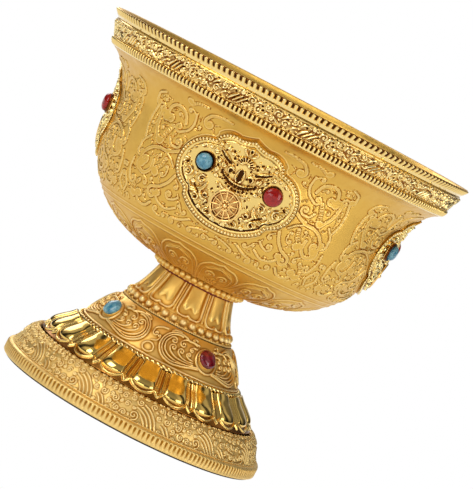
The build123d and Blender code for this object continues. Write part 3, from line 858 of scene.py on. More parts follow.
# Upright teeth with rounded gaps between them, cut into a leaning profile; the gaps are painted
# darker towards the top, and the top rows too, as shade under the band and the lip
for name, node, piece in (("rimLowerBeading", "rim_lower_beading", lowerBeading),
                          ("rimUpperBeading", "rim_upper_beading", upperBeading)):
    up = np.linspace(0, 1, 19)[:, None]
    toothedRing(name, node, piece, evenly(piece["outline"], 19),
                np.clip(np.minimum(up - piece["from"], 1 - up) * 9, 0, 1),
                0.80 - 0.5 * np.clip(up * 12 - 11, 0, 1), 0.75 + 0.5 * up,
                "polished_gold", "polishedGold")


# One repeat of the band: three slanting bars between leafy curls, and grains in the ground
def drawBand(canvas, width, height):
    h, u = rimBand["lineHeight"], width / rimBand["drawnWidth"]
    for x, y, radius, start, hand in (
            (16.6, 3.5, 1.3, 200, -1), (15.1, 1.3, 0.95, 20, 1), (19.0, 1.7, 1.25, 120, 1),
            (21.5, 3.8, 0.95, 300, -1), (2.3, 3.4, 1.3, 200, -1), (4.9, 1.7, 1.2, 20, 1),
            (7.3, 3.8, 1.05, 250, 1), (0.6, 1.3, 0.85, 120, -1), (13.3, 4.3, 0.7, 60, 1)):
        curl(canvas, x * u, y, radius, start, hand, 0.28, h, 1.25, 0.2)
    for points in ([(3.4, 2.6), (4.8, 3.9), (6.0, 4.2)], [(17.4, 2.1), (18.3, 3.6), (20.0, 4.3)],
                   [(6.6, 0.8), (7.6, 1.8), (8.6, 2.2)], [(20.6, 0.9), (21.6, 1.7), (22.6, 1.6)],
                   [(9.2, 3.0), (10.2, 4.2), (11.6, 4.6)], [(1.4, 1.9), (2.4, 1.0), (3.4, 0.8)]):
        leaf(canvas, [(x * u, y) for x, y in points], 0.42, h)
    for n in range(3):
        x = 9.3 + 1.5 * n
        leaf(canvas, [(x * u, 0.5), ((x + 1.1) * u, 1.9), ((x + 2.8) * u, 3.3)], 0.46, h * 1.2)
        stroke(canvas, [((x + 1.9) * u, 1.5), ((x + 3.0) * u, 2.7)], 0.2, -0.35)
    spots = freeSpots(canvas, drawnOn(canvas), ((0.36, 500), (0.27, 900)),
                      np.random.default_rng(3))
    for n, (x, y, radius) in enumerate(spots):
        dot(canvas, x, y, radius, h if n % 2 else -0.6)


shellPiece("rimBand", "rim_band", rimBand, drawBand, "polished_gold", "bandGold")
print("bowl and rim ready")


# Places over the wall of the bowl, to the right of and above a medallion's middle
def onWall(x, z, lift):
    level = np.asarray(z, float) + medallion["level"]
    radius, out, up = (np.interp(level, bowlSide[:, 1], values)
                       for values in (bowlSide[:, 0], *normalsOf(bowlSide).T))
    azimuth = np.degrees(np.arcsin(np.clip(x / radius, -1, 1)))
    return turnedPoints(radius + out * lift, level + up * lift, azimuth)


# Ornament of the medallion's field: its right half, mirrored. Curls are centre, radius, start
# and turn, leaves are their middle lines, pits are cuts between the forms, painted dark as shade.
fieldOrnament = {
    "curls": [(13.9, -3.4, 1.5, 90, 1), (9.2, -3.6, 1.3, 120, -1), (15.7, -0.9, 0.95, 120, -1),
              (8.9, -8.9, 1.2, 60, 1), (4.3, -11.0, 1.0, 100, -1), (6.4, -6.9, 0.9, 200, 1),
              (12.9, -6.7, 0.8, 260, 1), (1.8, -12.2, 0.65, 180, 1), (15.3, 3.7, 0.85, 330, 1),
              (8.6, 8.0, 0.95, 250, 1), (6.1, 7.9, 0.7, 240, -1), (4.5, 6.9, 0.65, 200, -1),
              (9.0, 5.6, 0.75, 200, 1), (3.1, 2.3, 1.0, 150, -1), (5.3, 2.9, 0.8, 60, -1),
              (6.9, 0.9, 0.7, 90, 1), (7.2, 3.4, 0.65, 30, 1), (6.2, -0.8, 0.6, 200, -1),
              (13.2, 5.3, 0.7, 120, 1), (11.5, -10.2, 0.7, 30, 1), (6.8, -10.9, 0.7, 200, -1),
              (5.6, -8.8, 0.6, 60, 1), (16.3, 1.6, 0.6, 60, 1), (11.2, -5.0, 0.6, 200, 1)],
    "leaves": [((2.6, 4.4), (4.2, 4.4), (6.0, 5.6), (7.9, 6.6), 0.62),
               ((2.2, 3.5), (3.4, 3.6), (5.0, 4.4), (6.6, 5.0), 0.5),
               ((7.3, -3.6), (8.2, -6.0), (11.0, -7.3), (12.6, -5.4), 0.8),
               ((5.4, -8.0), (6.8, -8.4), (8.0, -7.2), (8.2, -6.3), 0.4),
               ((11.3, -9.0), (12.3, -8.2), (12.8, -7.6), (12.4, -6.9), 0.42),
               ((6.4, -12.0), (8.0, -11.6), (9.4, -11.2), (10.6, -10.6), 0.4),
               ((0.6, -12.9), (1.8, -11.4), (3.0, -11.6), (3.4, -12.2), 0.4),
               ((14.8, -2.6), (16.2, -3.0), (16.6, -2.2), (16.5, -1.4), 0.4),
               ((11.8, 5.0), (13.0, 6.1), (14.2, 5.9), (14.9, 4.9), 0.4),
               ((1.4, -3.0), (2.6, -3.1), (3.8, -2.6), (4.6, -1.8), 0.36),
               ((0.5, 8.3), (1.2, 8.9), (1.9, 9.6), (1.9, 10.4), 0.42),
               ((0.9, 10.2), (1.6, 11.0), (2.8, 11.2), (4.2, 10.9), 0.3)],
    "pits": [(7.8, 6.2, 6.0, 5.0, 0.30), (5.9, 5.0, 3.9, 4.3, 0.34), (3.0, 2.4, 3.1, 2.1, 0.42),
             (5.3, 1.4, 5.0, 1.1, 0.36), (4.4, 0.5, 4.0, 0.2, 0.36), (3.3, 0.0, 2.9, -0.2, 0.36),
             (1.5, -0.8, 1.1, -0.9, 0.36), (8.5, 8.8, 8.2, 8.7, 0.32), (4.6, 7.8, 4.4, 7.6, 0.3),
             (8.7, -7.1, 10.6, -5.9, 0.26), (6.6, -7.4, 6.3, -7.2, 0.34),
             (4.2, -11.0, 3.8, -11.0, 0.34), (9.0, -9.0, 8.7, -8.8, 0.3),
             (15.4, -1.2, 15.1, -0.9, 0.32), (9.3, -3.5, 9.0, -3.4, 0.26),
             (13.9, -3.3, 13.7, -3.2, 0.24), (5.3, -9.0, 5.1, -8.9, 0.28),
             (5.7, -5.0, 5.5, -4.6, 0.26), (7.2, 2.2, 7.0, 2.0, 0.3), (8.0, 4.0, 7.7, 3.9, 0.28),
             (11.4, -7.9, 10.4, -8.5, 0.2), (2.2, 4.7, 2.1, 4.4, 0.26)],
    "flats": [(4.0, 9.1, 1.7, 0.9), (6.4, -3.1, 1.3, 1.5), (14.8, 2.2, 1.0, 2.2),
              (11.0, -7.0, 0.8, 0.8), (0.0, -7.0, 4.7, 4.7), (10.9, 1.5, 3.3, 3.3),
              (7.6, -11.8, 1.6, 0.7), (12.6, -6.2, 0.9, 1.2), (6.9, 5.9, 1.0, 0.5)],
    "beads": [(7.4, -0.6, .34), (11.5, -1.7, .3), (7.6, 7.1, .3), (5.0, -2.6, .4),
              (7.5, -4.9, .34), (7.0, -9.6, .3), (1.2, -2.2, .34), (3.4, 8.3, .3),
              (10.3, 7.0, .26), (2.6, 3.0, .34), (4.2, 3.4, .32), (6.0, 4.1, .3),
              (8.3, 2.6, .32), (8.2, 0.6, .3), (6.5, -5.6, .3)],
}


def mirroredCurl(canvas, s, x, y, radius, start, hand, *rest):
    curl(canvas, s * x, y, radius, start if s > 0 else 180 - start, s * hand, *rest)


# Small curls, grains and pits in the free places of the field, off the flats that stay plain
def fillField(canvas):
    busy = drawnOn(canvas)
    x, y = placesOf(canvas)
    outer = atAngles(cartouche(medallion["border"] + 0.1), np.arctan2(x, y))
    busy |= (np.hypot(x, y) > outer) | (x < 0.25)
    for flatX, flatY, across, up in fieldOrnament["flats"]:
        busy |= ((x - flatX) / across) ** 2 + ((y - flatY) / up) ** 2 < 1
    rng = np.random.default_rng(5)
    sizes = ((0.66, 1500), (0.48, 6000), (0.36, 7000))
    for n, (x, y, radius) in enumerate(freeSpots(canvas, busy, sizes, rng)):
        start, hand = rng.uniform(0, 360), rng.choice((-1, 1))
        for s in (-1, 1):
            if radius > 0.6:
                mirroredCurl(canvas, s, x, y, radius * 0.8, start, hand, radius * 0.36, 0.8, 1.0,
                             0.0)
            else:
                dot(canvas, s * x, y, radius * 0.9, -0.9 if n % 2 else 0.85)


def medallionCanvas():
    canvas = newCanvas(40, 32, 0.08, -20, -16)
    for s in (-1, 1):
        for x, y, radius, start, hand in fieldOrnament["curls"]:
            mirroredCurl(canvas, s, x, y, radius, start, hand, 0.20 + 0.11 * radius, 0.85, 1.3,
                         0.34)
        for *line, width in fieldOrnament["leaves"]:
            leaf(canvas, [(s * x, y) for x, y in line], width, 0.9, 0.3)
        for x, y, radius in fieldOrnament["beads"]:
            dot(canvas, s * x, y, radius, 0.8)
        for side in (0.62, 1.05):
            stroke(canvas, smooth([(s * 0.5, 3.9), (s * side, 2.6), (s * side, 1.2),
                                   (s * 0.4, 0.3)]), 0.26, 1.1)
        for x0, y0, x1, y1, width in fieldOrnament["pits"]:
            stroke(canvas, [(s * x0, y0), (s * x1, y1)], width, -0.85)
    fillField(canvas)
    # Bud and fan of the crest
    leaf(canvas, [(0, 9.0), (0, 10.2), (0, 11.4)], 0.85, 1.0)
    stroke(canvas, [(0, 10.4), (0, 9.8)], 0.34, -0.9)
    for n in range(-4, 5):
        a = math.radians(n * 21)
        tip = (math.sin(a) * 2.7, 5.6 + math.cos(a) * 2.2)
        leaf(canvas, [(math.sin(a) * 0.7, 5.4 + math.cos(a) * 0.5), tip], 0.40, 1.0)
        dot(canvas, *tip, 0.36, 1.1)
        b = math.radians((n + 0.5) * 21)
        stroke(canvas, [(math.sin(b) * 1.5, 5.5 + math.cos(b) * 1.3),
                        (math.sin(b) * 2.2, 5.5 + math.cos(b) * 1.9)], 0.16, -0.6)
    # Vase with a deep mouth painted dark as shade, and the garland under it
    stroke(canvas, [(0, 3.2), (0, 1.3)], 0.72, -1.1)
    for t in np.linspace(-1, 1, 17):
        dot(canvas, 5.6 * t, -0.35 + 2.0 * t * t, 0.42, 1.1)
    for t in np.linspace(-0.95, 0.95, 14):
        dot(canvas, 4.4 * t, -1.75 + 1.7 * t * t, 0.34, 0.95)
    for t in (-0.94, -0.66, -0.42, -0.2, 0, 0.2, 0.42, 0.66, 0.94):
        dot(canvas, 5.4 * t, -1.05 + 2.0 * t * t, 0.46, -1.0)
        dot(canvas, 5.0 * t + 0.5, -2.1 + 1.5 * t * t, 0.3, -0.8)
    stroke(canvas, smooth([(-1.9, -2.5), (0, -2.8), (1.9, -2.5)]), 0.34, 0.8)
    return canvas


# Plate of a medallion: its relief, the skirt back to the wall, and its back
def platePart():
    m = medallion
    angles = np.radians(azimuthsOf(m["around"]))
    rim, field = (atAngles(cartouche(inset), angles) for inset in (0.0, m["border"]))
    reach = np.linspace(0.012, 1, m["rings"])[:, None] * rim
    x, z = reach * np.sin(angles), reach * np.cos(angles)
    canvas = medallionCanvas()
    # Painted shade: cut pits lose their proud mask, so the gilding paints them near black
    pits = np.clip((canvas["cut"] - 0.15) / 0.35, 0, 1)
    relief = canvas["raised"] * (1 - pits) - canvas["cut"]
    proud = proudMask(canvas["raised"], 6, 1.0, 0.60) * (1 - pits)
    ornament, proud = sampled(canvas, x, z, relief, proud)
    fromField = reach - field
    inside = np.clip(-fromField / 0.35, 0, 1)
    # Border from inside out: a groove painted dark as shade, darker towards the bottom, a smooth
    # strip, and a channel that holds the beads, painted darker as shade
    low = np.clip(-z / 9, 0, 1)
    groove = np.exp(-((fromField - 0.02) / (0.15 + 0.1 * low)) ** 2)
    channel = np.clip((reach - rim + 1.15) / 0.15, 0, 1)
    ledge = np.exp(-((fromField + 0.38) / 0.2) ** 2)
    face = m["offset"] + m["thickness"]
    lift = face + ornament * inside * 0.92 + 0.12 * ledge
    lift = np.maximum(lift - 0.32 * channel - 0.42 * groove - 0.12 * inside, 0.3)
    mask = proud * inside + (1 - inside) * 0.66 + 0.2 * ledge * inside
    mask = np.clip(mask * (1 - 0.48 * channel) - groove * (0.42 + 0.8 * low), 0, 1)
    lifts = np.array([0.8, 0.45] + [m["offset"]] * 5)[:, None]
    scales = np.array([1, 1, 1, 0.8, 0.55, 0.3, 0.1])[:, None]
    grid = np.vstack([onWall(x, z, lift), onWall(x[-1] * scales, z[-1] * scales, lifts)])
    mask = np.vstack([mask, np.full((len(lifts), len(angles)), 0.62)])
    hubs = onWall(np.zeros(2), np.zeros(2), (face - 0.12 + ornament[0].mean(), m["offset"]))
    points, quads, tris, values = tube(grid, mask, hubs)
    values[-2:] = 0.5
    return points, np.roll(quads, -1, 1), tris, values


# Beads along the border's edge
def borderPart():
    line = cartouche(0.58)
    closed = np.vstack([line, line[:1]])
    length = arcLengths(closed)[-1]
    count = int(length / medallion["beadPitch"])
    x, z = alongLine(closed, np.arange(count) * length / count).T
    centres = onWall(x, z, medallion["offset"] + medallion["thickness"] - 0.08)
    along = unit(np.roll(centres, -1, 0) - np.roll(centres, 1, 0))
    outward = outwardOf(centres)
    ways = np.stack([along, np.cross(along, outward), outward], 2)
    return balls(centres, ways * medallion["bead"], 3, 0.85)


wheel = {"drop": 7.1, "radius": 4.6, "spokes": 12, "lift": 0.85, "hub": 1.0,
         "up": (0.02, -1, 0.03)}


def onWheel(radius, azimuth, lift):
    a = np.radians(azimuth)
    return onWall(radius * np.cos(a), radius * np.sin(a) - wheel["drop"], wheel["lift"] + lift)


def wheelPart():
    rim, hub, around = wheel["radius"], wheel["hub"], azimuthsOf(72)
    parts = [wire(onWheel(radius, around, lift), thick, 9, True) for radius, thick, lift in
             ((rim - 0.38, 0.36, 0.42), (rim - 1.15, 0.17, 0.22), (hub + 0.42, 0.2, 0.40))]
    t = np.linspace(0, 1, 9)
    for azimuth in azimuthsOf(wheel["spokes"]) + 180 / wheel["spokes"]:
        line = onWheel(hub + (rim - 0.5 - hub) * t, azimuth, 0.36)
        parts.append(wire(line, 0.15 + 0.13 * np.sin(math.pi * t) ** 2, 8))
    # Beads: distance, azimuth and radius
    beads = [(0, 0, 0.72)] + [(radius, first + 45 * n, size) for radius, first, size in
                              ((1.0, 0, 0.3), (rim - 0.38, 22.5, 0.42), (2.55, 0, 0.26))
                              for n in range(8)]
    radius, azimuth, size = np.transpose(beads)
    parts.append(balls(onWheel(radius, azimuth, 0.36), size, 4, 0.6))
    # Disc behind the spokes, its low masks painted shade behind them: radius, lift and mask of its
    # rings
    disc = [(4.2, -0.25, 0.05), (4.05, -0.02, 0.0), (3.5, 0, 0.08), (2.9, 0.02, 0.3),
            (1.5, 0.06, 0.36), (0.05, 0.06, 0.3), (4.2, -0.25, 0.3)]
    grid = np.array([onWheel(radius, around, lift) for radius, lift, _ in disc])
    grid[-1] += (0, 0.12, 0)
    parts.append(tube(grid, np.array(disc)[:, 2:]))
    return joined(parts)


quarters = ("front", "right", "back", "left")


def buildMedallions():
    kinds = (("Field", platePart(), "fieldGold", ("plate", "crest")),
             ("Border", borderPart(), "polishedGold", ("border",)),
             ("Wheel", wheelPart(), "amberGold", ("wheel",)))
    for n, side in enumerate(quarters):
        for kind, whole, finish, nodes in kinds:
            addPiece(side + "Medallion" + kind, turnedPart(whole, n * 90), "polished_gold",
                     finish, *(f"{side}_medallion_{node}" for node in nodes))


buildMedallions()
print("medallions ready")


# Stones in their bezels. A bezel's wire leans by an angle and its outer rows have a mask each, low
# on the medallions to paint a dark ring of shade round the stone.

setting = {"radius": 2.7, "dome": 2.3, "claws": 22, "lift": 0.7, "sink": 0.1, "footSink": 0.6,
           "angle": 12.9, "level": 80.7, "domeLevel": 27.3, "footTurn": -5.5}
bezel = {"outline": [(3.02, 0.02), (3.08, 0.4), (3.02, 0.75), (2.94, 1.0), (2.86, 1.09),
                     (2.78, 1.1), (2.76, 1.02), (2.75, 0.8), (2.75, 0.42), (2.0, 0.4),
                     (0.4, 0.4), (0.4, 0.05)],
         "columns": 96, "twists": 30, "wire": (2.96, 0.22), "strand": (0.34, 0.17, 0.17),
         "onMedallion": (0.5, (0.2, 0.2, 0.1, 0.05, 0.0, 0.0)),
         "onFoot": (0.0, (0.5, 0.55, 0.6, 0.7, 0.8, 0.5))}
footCurve = evenly([(26, 21.4), (24.7, 23.7), (23.4, 25.9), (21.95, 28.0), (20.3, 30.0),
                    (18.4, 31.8)], 60)


# Moves a part from its own upright axes to a place on a turned surface
def seated(whole, line, level, lift, azimuth):
    (radius, height), out = ([np.interp(level, line[:, 1], values[:, k]) for k in (0, 1)]
                             for values in (line, normalsOf(line)))
    out = np.array(out) / np.linalg.norm(out)
    side, outward = turnedPoints(1, 0, np.array([azimuth + 90, azimuth]))
    normal = outward * out[0] + (0, 0, out[1])
    base = outward * (radius + out[0] * lift) + (0, 0, height + out[1] * lift)
    return (base + whole[0] @ np.stack([side, np.cross(normal, side), normal]),) + whole[1:]


# Cabochon: a low dome, slightly uneven like cut stone
def cabochonPart(seed, uneven, size):
    rng = np.random.default_rng(seed)
    low, height, radius = 0.45, setting["dome"], setting["radius"] * size
    outline = [(0.9 * radius, low), (0.965 * radius, low + 0.2), (0.985 * radius, low + 0.85)]
    outline += [(radius * 1.005 * math.cos(t) ** 0.86, low + 0.9 + (height - 0.9) * math.sin(t))
                for t in np.linspace(0, math.pi / 2, 15)[1:-1]]
    out, up = np.hsplit(np.array(outline), 2)
    azimuths = azimuthsOf(48)
    wobble = sum(rng.normal(0, uneven) * np.cos(k * np.radians(azimuths) + rng.uniform(0, 6))
                 for k in (2, 3, 5))
    out = out * (1 + wobble * np.clip((up - low - 0.6) / 1.2, 0, 1))
    return tube(turnedPoints(out, up, azimuths + 90), hubs=[(0, 0, low), (0, 0, low + height)])


# Bezel: a cup with a thin collar burnished over the stone and a twisted wire round its foot
def bezelPart(twist, rimShadeMasks):
    out, up = np.hsplit(np.array(bezel["outline"]), 2)
    azimuths = azimuthsOf(bezel["columns"])
    notch = 0.035 * np.cos(np.radians(azimuths) * setting["claws"])
    top = np.clip((up - 0.5) / 0.4, 0, 1) * (out > 2.8)
    mask = np.full_like(out, 0.05)
    # Masks of the outer rows: low values paint shade round the stone
    mask[:len(rimShadeMasks), 0] = rimShadeMasks
    cup = tube(turnedPoints(out + notch * top, up, azimuths + 90), mask)
    azimuths = azimuthsOf(bezel["twists"]) + 90
    outward, tangent = turnedPoints(1, 0, azimuths), turnedPoints(1, 0, azimuths + 90)
    c, s = math.cos(twist), math.sin(twist)
    ways = np.stack([tangent * c + (0, 0, s), outward, tangent * -s + (0, 0, c)], 2)
    strands = balls(turnedPoints(*bezel["wire"], azimuths), ways * bezel["strand"], 3, 0.6)
    return joined([cup, strands])


def setStone(label, node, colour, cup, stone, slotName, finish, *place):
    addPiece(label + "Bezel", seated(bezelPart(*cup), *place), slotName, finish, node + "_bezel")
    addPiece(label + "Stone", seated(cabochonPart(*stone), *place), colour, colour,
             node + "_stone", sharp=50)


def buildStones():
    for n, side in enumerate(quarters):
        for k, (colour, sign, size) in enumerate((("turquoise", -1, 0.88), ("coral", 1, 1.02))):
            setStone(f"{side}Medallion{colour.title()}", f"{side}_medallion_{colour}", colour,
                     bezel["onMedallion"], (20 + n * 2 + k, 0.008, size),
                     "polished_gold", "polishedGold", bowlSide, setting["level"],
                     setting["lift"] - setting["sink"], n * 90 + sign * setting["angle"])
    corners = (("front_right", "garnet"), ("back_right", "turquoise"), ("back_left", "garnet"),
               ("front_left", "turquoise"))
    for n, (corner, colour) in enumerate(corners):
        setStone("foot" + corner.title().replace("_", ""), f"dome_{corner}_{colour}", colour,
                 bezel["onFoot"], (40 + n, 0.026, 1.08), "satin_gold", "satinGold", footCurve,
                 setting["domeLevel"], -0.15 - setting["footSink"],
                 setting["footTurn"] + 45 + 90 * n)


buildStones()
print("stones ready")


# Neck and collars: rings of pearls and drops on a backing, whose low mask is painted shade behind
# them. The pearls and the drops are both radius, circle, level, fineness and mask.

pearlRings = {
    "bowlPearlCollar": {
        "node": "bowl_pearl_ring", "columns": 440, "rows": 10, "tone": 0.28, "count": 44,
        "backing": [(13.5, 44.92), (13.75, 45.4), (13.7, 46.4), (13.75, 47.28)],
        "inner": [(11.6, 47.28), (10.0, 46.4), (10.0, 45.4), (11.6, 44.92)],
        "pearls": (0.95, 14.1, 46.3, 5, 0.5), "drops": (0.42, 13.45, 45.25, 4, 0.45)},
    "neckPearls": {
        "node": "neck_pearl_ring", "columns": 420, "rows": 16, "tone": 0.35, "count": 35,
        "backing": [(17.3, 31.86), (16.9, 32.1), (16.35, 32.7), (16.1, 33.8), (15.9, 34.95)],
        "inner": [(15.0, 34.95), (14.35, 33.8), (14.35, 32.6), (15.0, 31.86)],
        "pearls": (1.15, 16.7, 33.85, 6, 0.68), "drops": (0.62, 17.05, 32.5, 4, 0.55)},
}
ropes = {
    "neckRope": {"node": "neck_rope_wire", "finish": "paleGold", "radius": 17.9, "level": 32.22,
                 "thick": 0.42, "turns": 150, "cols": 900, "depth": 0.22},
    "footRope": {"node": "foot_rope_ring", "finish": "polishedGold", "radius": 26.85,
                 "level": 20.5, "thick": 0.79, "turns": 94, "cols": 1504, "depth": 0.26},
}


def pearlRing(name, ring):
    outline = np.vstack([evenly(ring["backing"], ring["rows"]), ring["inner"]])
    backingMask = np.full((ring["rows"], 1), ring["tone"])
    parts = [lathe(outline, ring["columns"], mask=backingMask)]
    for row, turn in (("pearls", 0), ("drops", 180 / ring["count"])):
        size, circle, level, side, mask = ring[row]
        centres = turnedPoints(circle, level, azimuthsOf(ring["count"]) + turn)
        parts.append(balls(centres, size, side, mask))
    addPiece(name, joined(parts), "satin_gold", "softGold", ring["node"])


# Two strands twisted round each other; the grooves between them are painted darker, as shade
def ropeRing(name, node, finish, radius, level, thick, turns, cols, depth):
    around = np.radians(azimuthsOf(12))[:, None]
    azimuths = azimuthsOf(cols)
    twist = np.cos(2 * around + turns * np.radians(azimuths))
    r = thick * (1 - depth + depth * twist)
    grid = turnedPoints(radius + r * np.cos(around), level + r * np.sin(around), azimuths)
    addPiece(name, tube(grid, np.clip(0.60 + 0.40 * twist, 0, 1)), "satin_gold", finish, node)


for name, ring in pearlRings.items():
    pearlRing(name, ring)
for name, rope in ropes.items():
    ropeRing(name, **rope)

neck = {"outline": [(16, 35.02), (15.46, 35.84), (14.98, 36.7), (14.1, 38.55), (13.35, 40.45),
                    (12.65, 42.4), (12.05, 44.28)],
        "repeats": 10, "radius": 14.2, "columns": 640, "rows": 70, "base": 0.0,
        "proud": (7, 1.7, 0.5)}


# Hanging petals: a raised rim round each, a smooth panel with a forked lower end
def drawNeckPetals(canvas, width, height):
    middle = width / 2
    x, y = placesOf(canvas)
    x, y = (x - middle) / middle, y / height
    # Panel: bulges in the middle and ends in two rounded tongues
    foot = 0.31 + 0.055 * np.cos(np.abs(x) * math.pi / 0.33)
    across = np.clip(1 - (x / 0.60) ** 4, 0, 1)
    rise = np.clip((y - foot) / 0.2, 0, 1)
    panel = 0.5 * np.sqrt(across * (1 - (1 - rise) ** 2))
    canvas["raised"][:] = np.maximum(canvas["raised"], panel)
    for side in (-1, 1):
        rim = [(middle + side * width * out, height * up) for out, up in
               ((0.40, 1.0), (0.41, 0.6), (0.415, 0.32), (0.40, 0.17), (0.31, 0.055),
                (0.17, 0.035), (0.06, 0.06), (0.0, 0.12))]
        stroke(canvas, smooth(rim), 0.34, 0.62)
        small = [(middle + side * width * out, height * up) for out, up in
                 ((0.5, 0.98), (0.5, 0.5), (0.49, 0.2), (0.5, 0.1))]
        stroke(canvas, smooth(small), 0.26, 0.4)


shellPiece("neckPetals", "neck_petal_collar", neck, drawNeckPetals, "satin_gold", "softGold",
           setting["footTurn"])


# Dome of the foot

dome = {"outline": [(26, 19.82), (26, 20.6), (26, 21.4), (24.7, 23.7), (23.4, 25.9),
                    (21.95, 28.0), (20.3, 30.0), (18.4, 31.78)],
        "repeats": 4, "radius": 22.6, "columns": 1320, "rows": 108, "lineHeight": 0.42,
        "base": 0.0, "proud": (6, 3.0, 0.5),
        "commas": [([(13.6, -3.4), (10.5, -3.75), (7.3, -3.6), (4.6, -2.1), (3.8, 0.5),
                     (4.7, 2.6)], 1.3, -1),
                   ([(13.5, -2.9), (10.6, -3.0), (8.0, -2.7), (6.1, -1.6), (5.5, -0.7)], 1.15, -1),
                   ([(13.3, -2.3), (11.2, -2.4), (9.5, -2.0), (8.4, -1.1)], 1.1, -1),
                   ([(13.1, -1.6), (12.0, -1.5), (11.2, -1.0)], 0.85, -1),
                   ([(13.8, 3.6), (11.6, 4.2), (9.6, 4.0), (8.4, 3.2)], 1.2, 1),
                   ([(13.9, 2.4), (12.7, 2.5), (11.9, 2.0)], 0.7, 1),
                   ([(13.8, 5.2), (13.0, 5.5), (12.3, 5.3)], 0.5, 1),
                   ([(7.4, 5.7), (5.4, 5.6), (4.3, 5.1)], 0.45, 1)]}


# A quarter of the dome: a stone's setting at each end, a small ring in the middle, and a roundel
# each side of it, full of curls whose stems run out under the stone
def drawDome(canvas, width, height):
    h = dome["lineHeight"]
    middle, centre = width / 2, 7.9
    stroke(canvas, spiral(middle, centre - 3.7, 1.55, 1.0, 0, 1, core=1.0), 0.24, h)
    comma(canvas, [(middle + x, centre + y) for x, y in
                   ((2.6, 4.7), (0.8, 4.3), (-0.9, 3.2), (-1.1, 1.6))], 1.05, 1, 0.24, h)
    comma(canvas, [(middle + x, centre + y) for x, y in
                   ((-0.2, -1.3), (1.2, -0.6), (1.7, 0.8))], 0.5, 1, 0.2, h)
    for side in (-1, 1):
        for r, w, first in ((5.2, 0.30, 52), (4.5, 0.24, 80)):
            line = [(7.5 + r * math.cos(a), r * math.sin(a)) for a in
                    np.radians(np.linspace(first, 288, 18))]
            line += [(10.6 + (r - 5) * 0.5, -0.88 * r), (13.2, -0.74 * r), (15.2, -0.66 * r)]
            if first < 60:
                line = [(14.6, 3.9), (12.4, 4.1)] + line
            stroke(canvas, smooth([(middle + side * x, centre + y) for x, y in line]), w, h * 1.2)
    for points, radius, side in dome["commas"]:
        for flip in (None, middle):
            comma(canvas, [(middle + x, centre + y) for x, y in points], radius, side, 0.24, h,
                  flip, 1.25)
    # Setting line round the stone
    for side in (-1, 1):
        edge = middle + side * width / 2
        stroke(canvas, spiral(edge, centre - 0.1, 3.7, 1.0, 0, 1, core=1.0), 0.30, h * 1.1)
    for level in (0.35, 1.7):
        stroke(canvas, [(-1, level), (width + 1, level)], 0.3, h * 0.7)


shellPiece("footDome", "foot_dome", dome, drawDome, "satin_gold", "reliefGold",
           setting["footTurn"] - 45, sharp=60)


# Polished ring of petals

# Its flat ground between the lobes is painted dark as shade
petalRing = {"outline": [(35.2, 12.02), (33.8, 13.7), (32.3, 15.3), (30.65, 16.8),
                         (28.96, 18.2), (27.4, 19.78)],
             "repeats": 20, "radius": 31.5, "columns": 1240, "rows": 74, "bulge": 1.22,
             "base": 0.0, "proud": (9, 0.8, 0.5), "ground": 0.05}


# One lobe: a smooth barrel with a round tip, double ribs between two lobes and a scalloped edge
def drawLobes(canvas, width, height):
    middle = width / 2
    x, y = placesOf(canvas)
    x, y = (x - middle) / middle, y / height
    half = 0.66
    foot = 0.17 + 0.09 * (np.abs(x) / half) ** 2.5
    barrel = np.clip(1 - (x / half) ** 2, 0, 1) ** 0.5
    rise = np.clip((y - foot) / 0.24, 0, 1)
    tip = np.sqrt(np.clip(1 - (1 - rise) ** 2, 0, 1))
    lobe = petalRing["bulge"] * (0.35 + 0.65 * barrel) * (barrel > 0) * tip
    canvas["raised"][:] = np.maximum(canvas["raised"], lobe)
    for side in (-1, 1):
        for out, w in ((0.375, 0.26), (0.44, 0.24)):
            rib = [(middle + side * width * out, height * up) for up in (0.24, 0.5, 0.75, 1.0)]
            stroke(canvas, smooth(rib), w, 0.42)
        scallop = [(middle + side * width * out, height * up) for out, up in
                   ((0.0, 0.055), (0.14, 0.085), (0.27, 0.16), (0.37, 0.25), (0.43, 0.19),
                    (0.5, 0.105))]
        stroke(canvas, smooth(scallop), 0.36, 0.55)
        curl(canvas, middle + side * width * 0.455, height * 0.2, 0.5, 60, side, 0.2, 0.4, 1.1)


shellPiece("lotusPetalRing", "lotus_petal_ring", petalRing, drawLobes, "polished_gold",
           "mirrorGold", setting["footTurn"])


# Skirt of clouds and waves

skirt = {"outline": [(41.2, 4.42), (40.16, 5.9), (39.5, 7.6), (38.8, 9.3), (37.65, 10.75),
                     (36.3, 11.98)],
         "repeats": 12, "radius": 39.3, "columns": 1760, "rows": 74, "lineHeight": 0.40,
         "drawnWidth": 20.6, "base": -0.1, "proud": (4, 3.2, 0.57),
         "curls": [(1.0, 4.2, 1.2), (2.5, 1.8, 1.1), (4.8, 1.5, 1.1), (7.9, 2.1, 1.7),
                   (1.1, 6.9, 1.0), (3.4, 6.4, 1.15), (5.9, 6.8, 1.1), (8.5, 6.4, 1.15),
                   (12.9, 7.0, 1.25), (15.5, 6.9, 1.1), (17.8, 4.4, 1.15), (17.9, 7.3, 0.85),
                   (20.0, 6.9, 0.95), (20.3, 2.6, 0.9), (15.2, 4.4, 0.9)],
         "fans": [((7.1, -1.4), (5.0, 6.1, 7.2, 8.3), 14, 80), ((14.4, -1.2), (4.2, 5.3), 16, 62),
                  ((1.0, -0.6), (3.0, 4.0), 60, 120)]}


# Lowers the ground under a form, so that the lines of the fans end at it
def clearSpot(canvas, x, y, radius):
    across, up = placesOf(canvas)
    across = (across - x + canvas["width"] / 2) % canvas["width"] - canvas["width"] / 2
    canvas["raised"][np.hypot(across, up - y) < radius] = 0


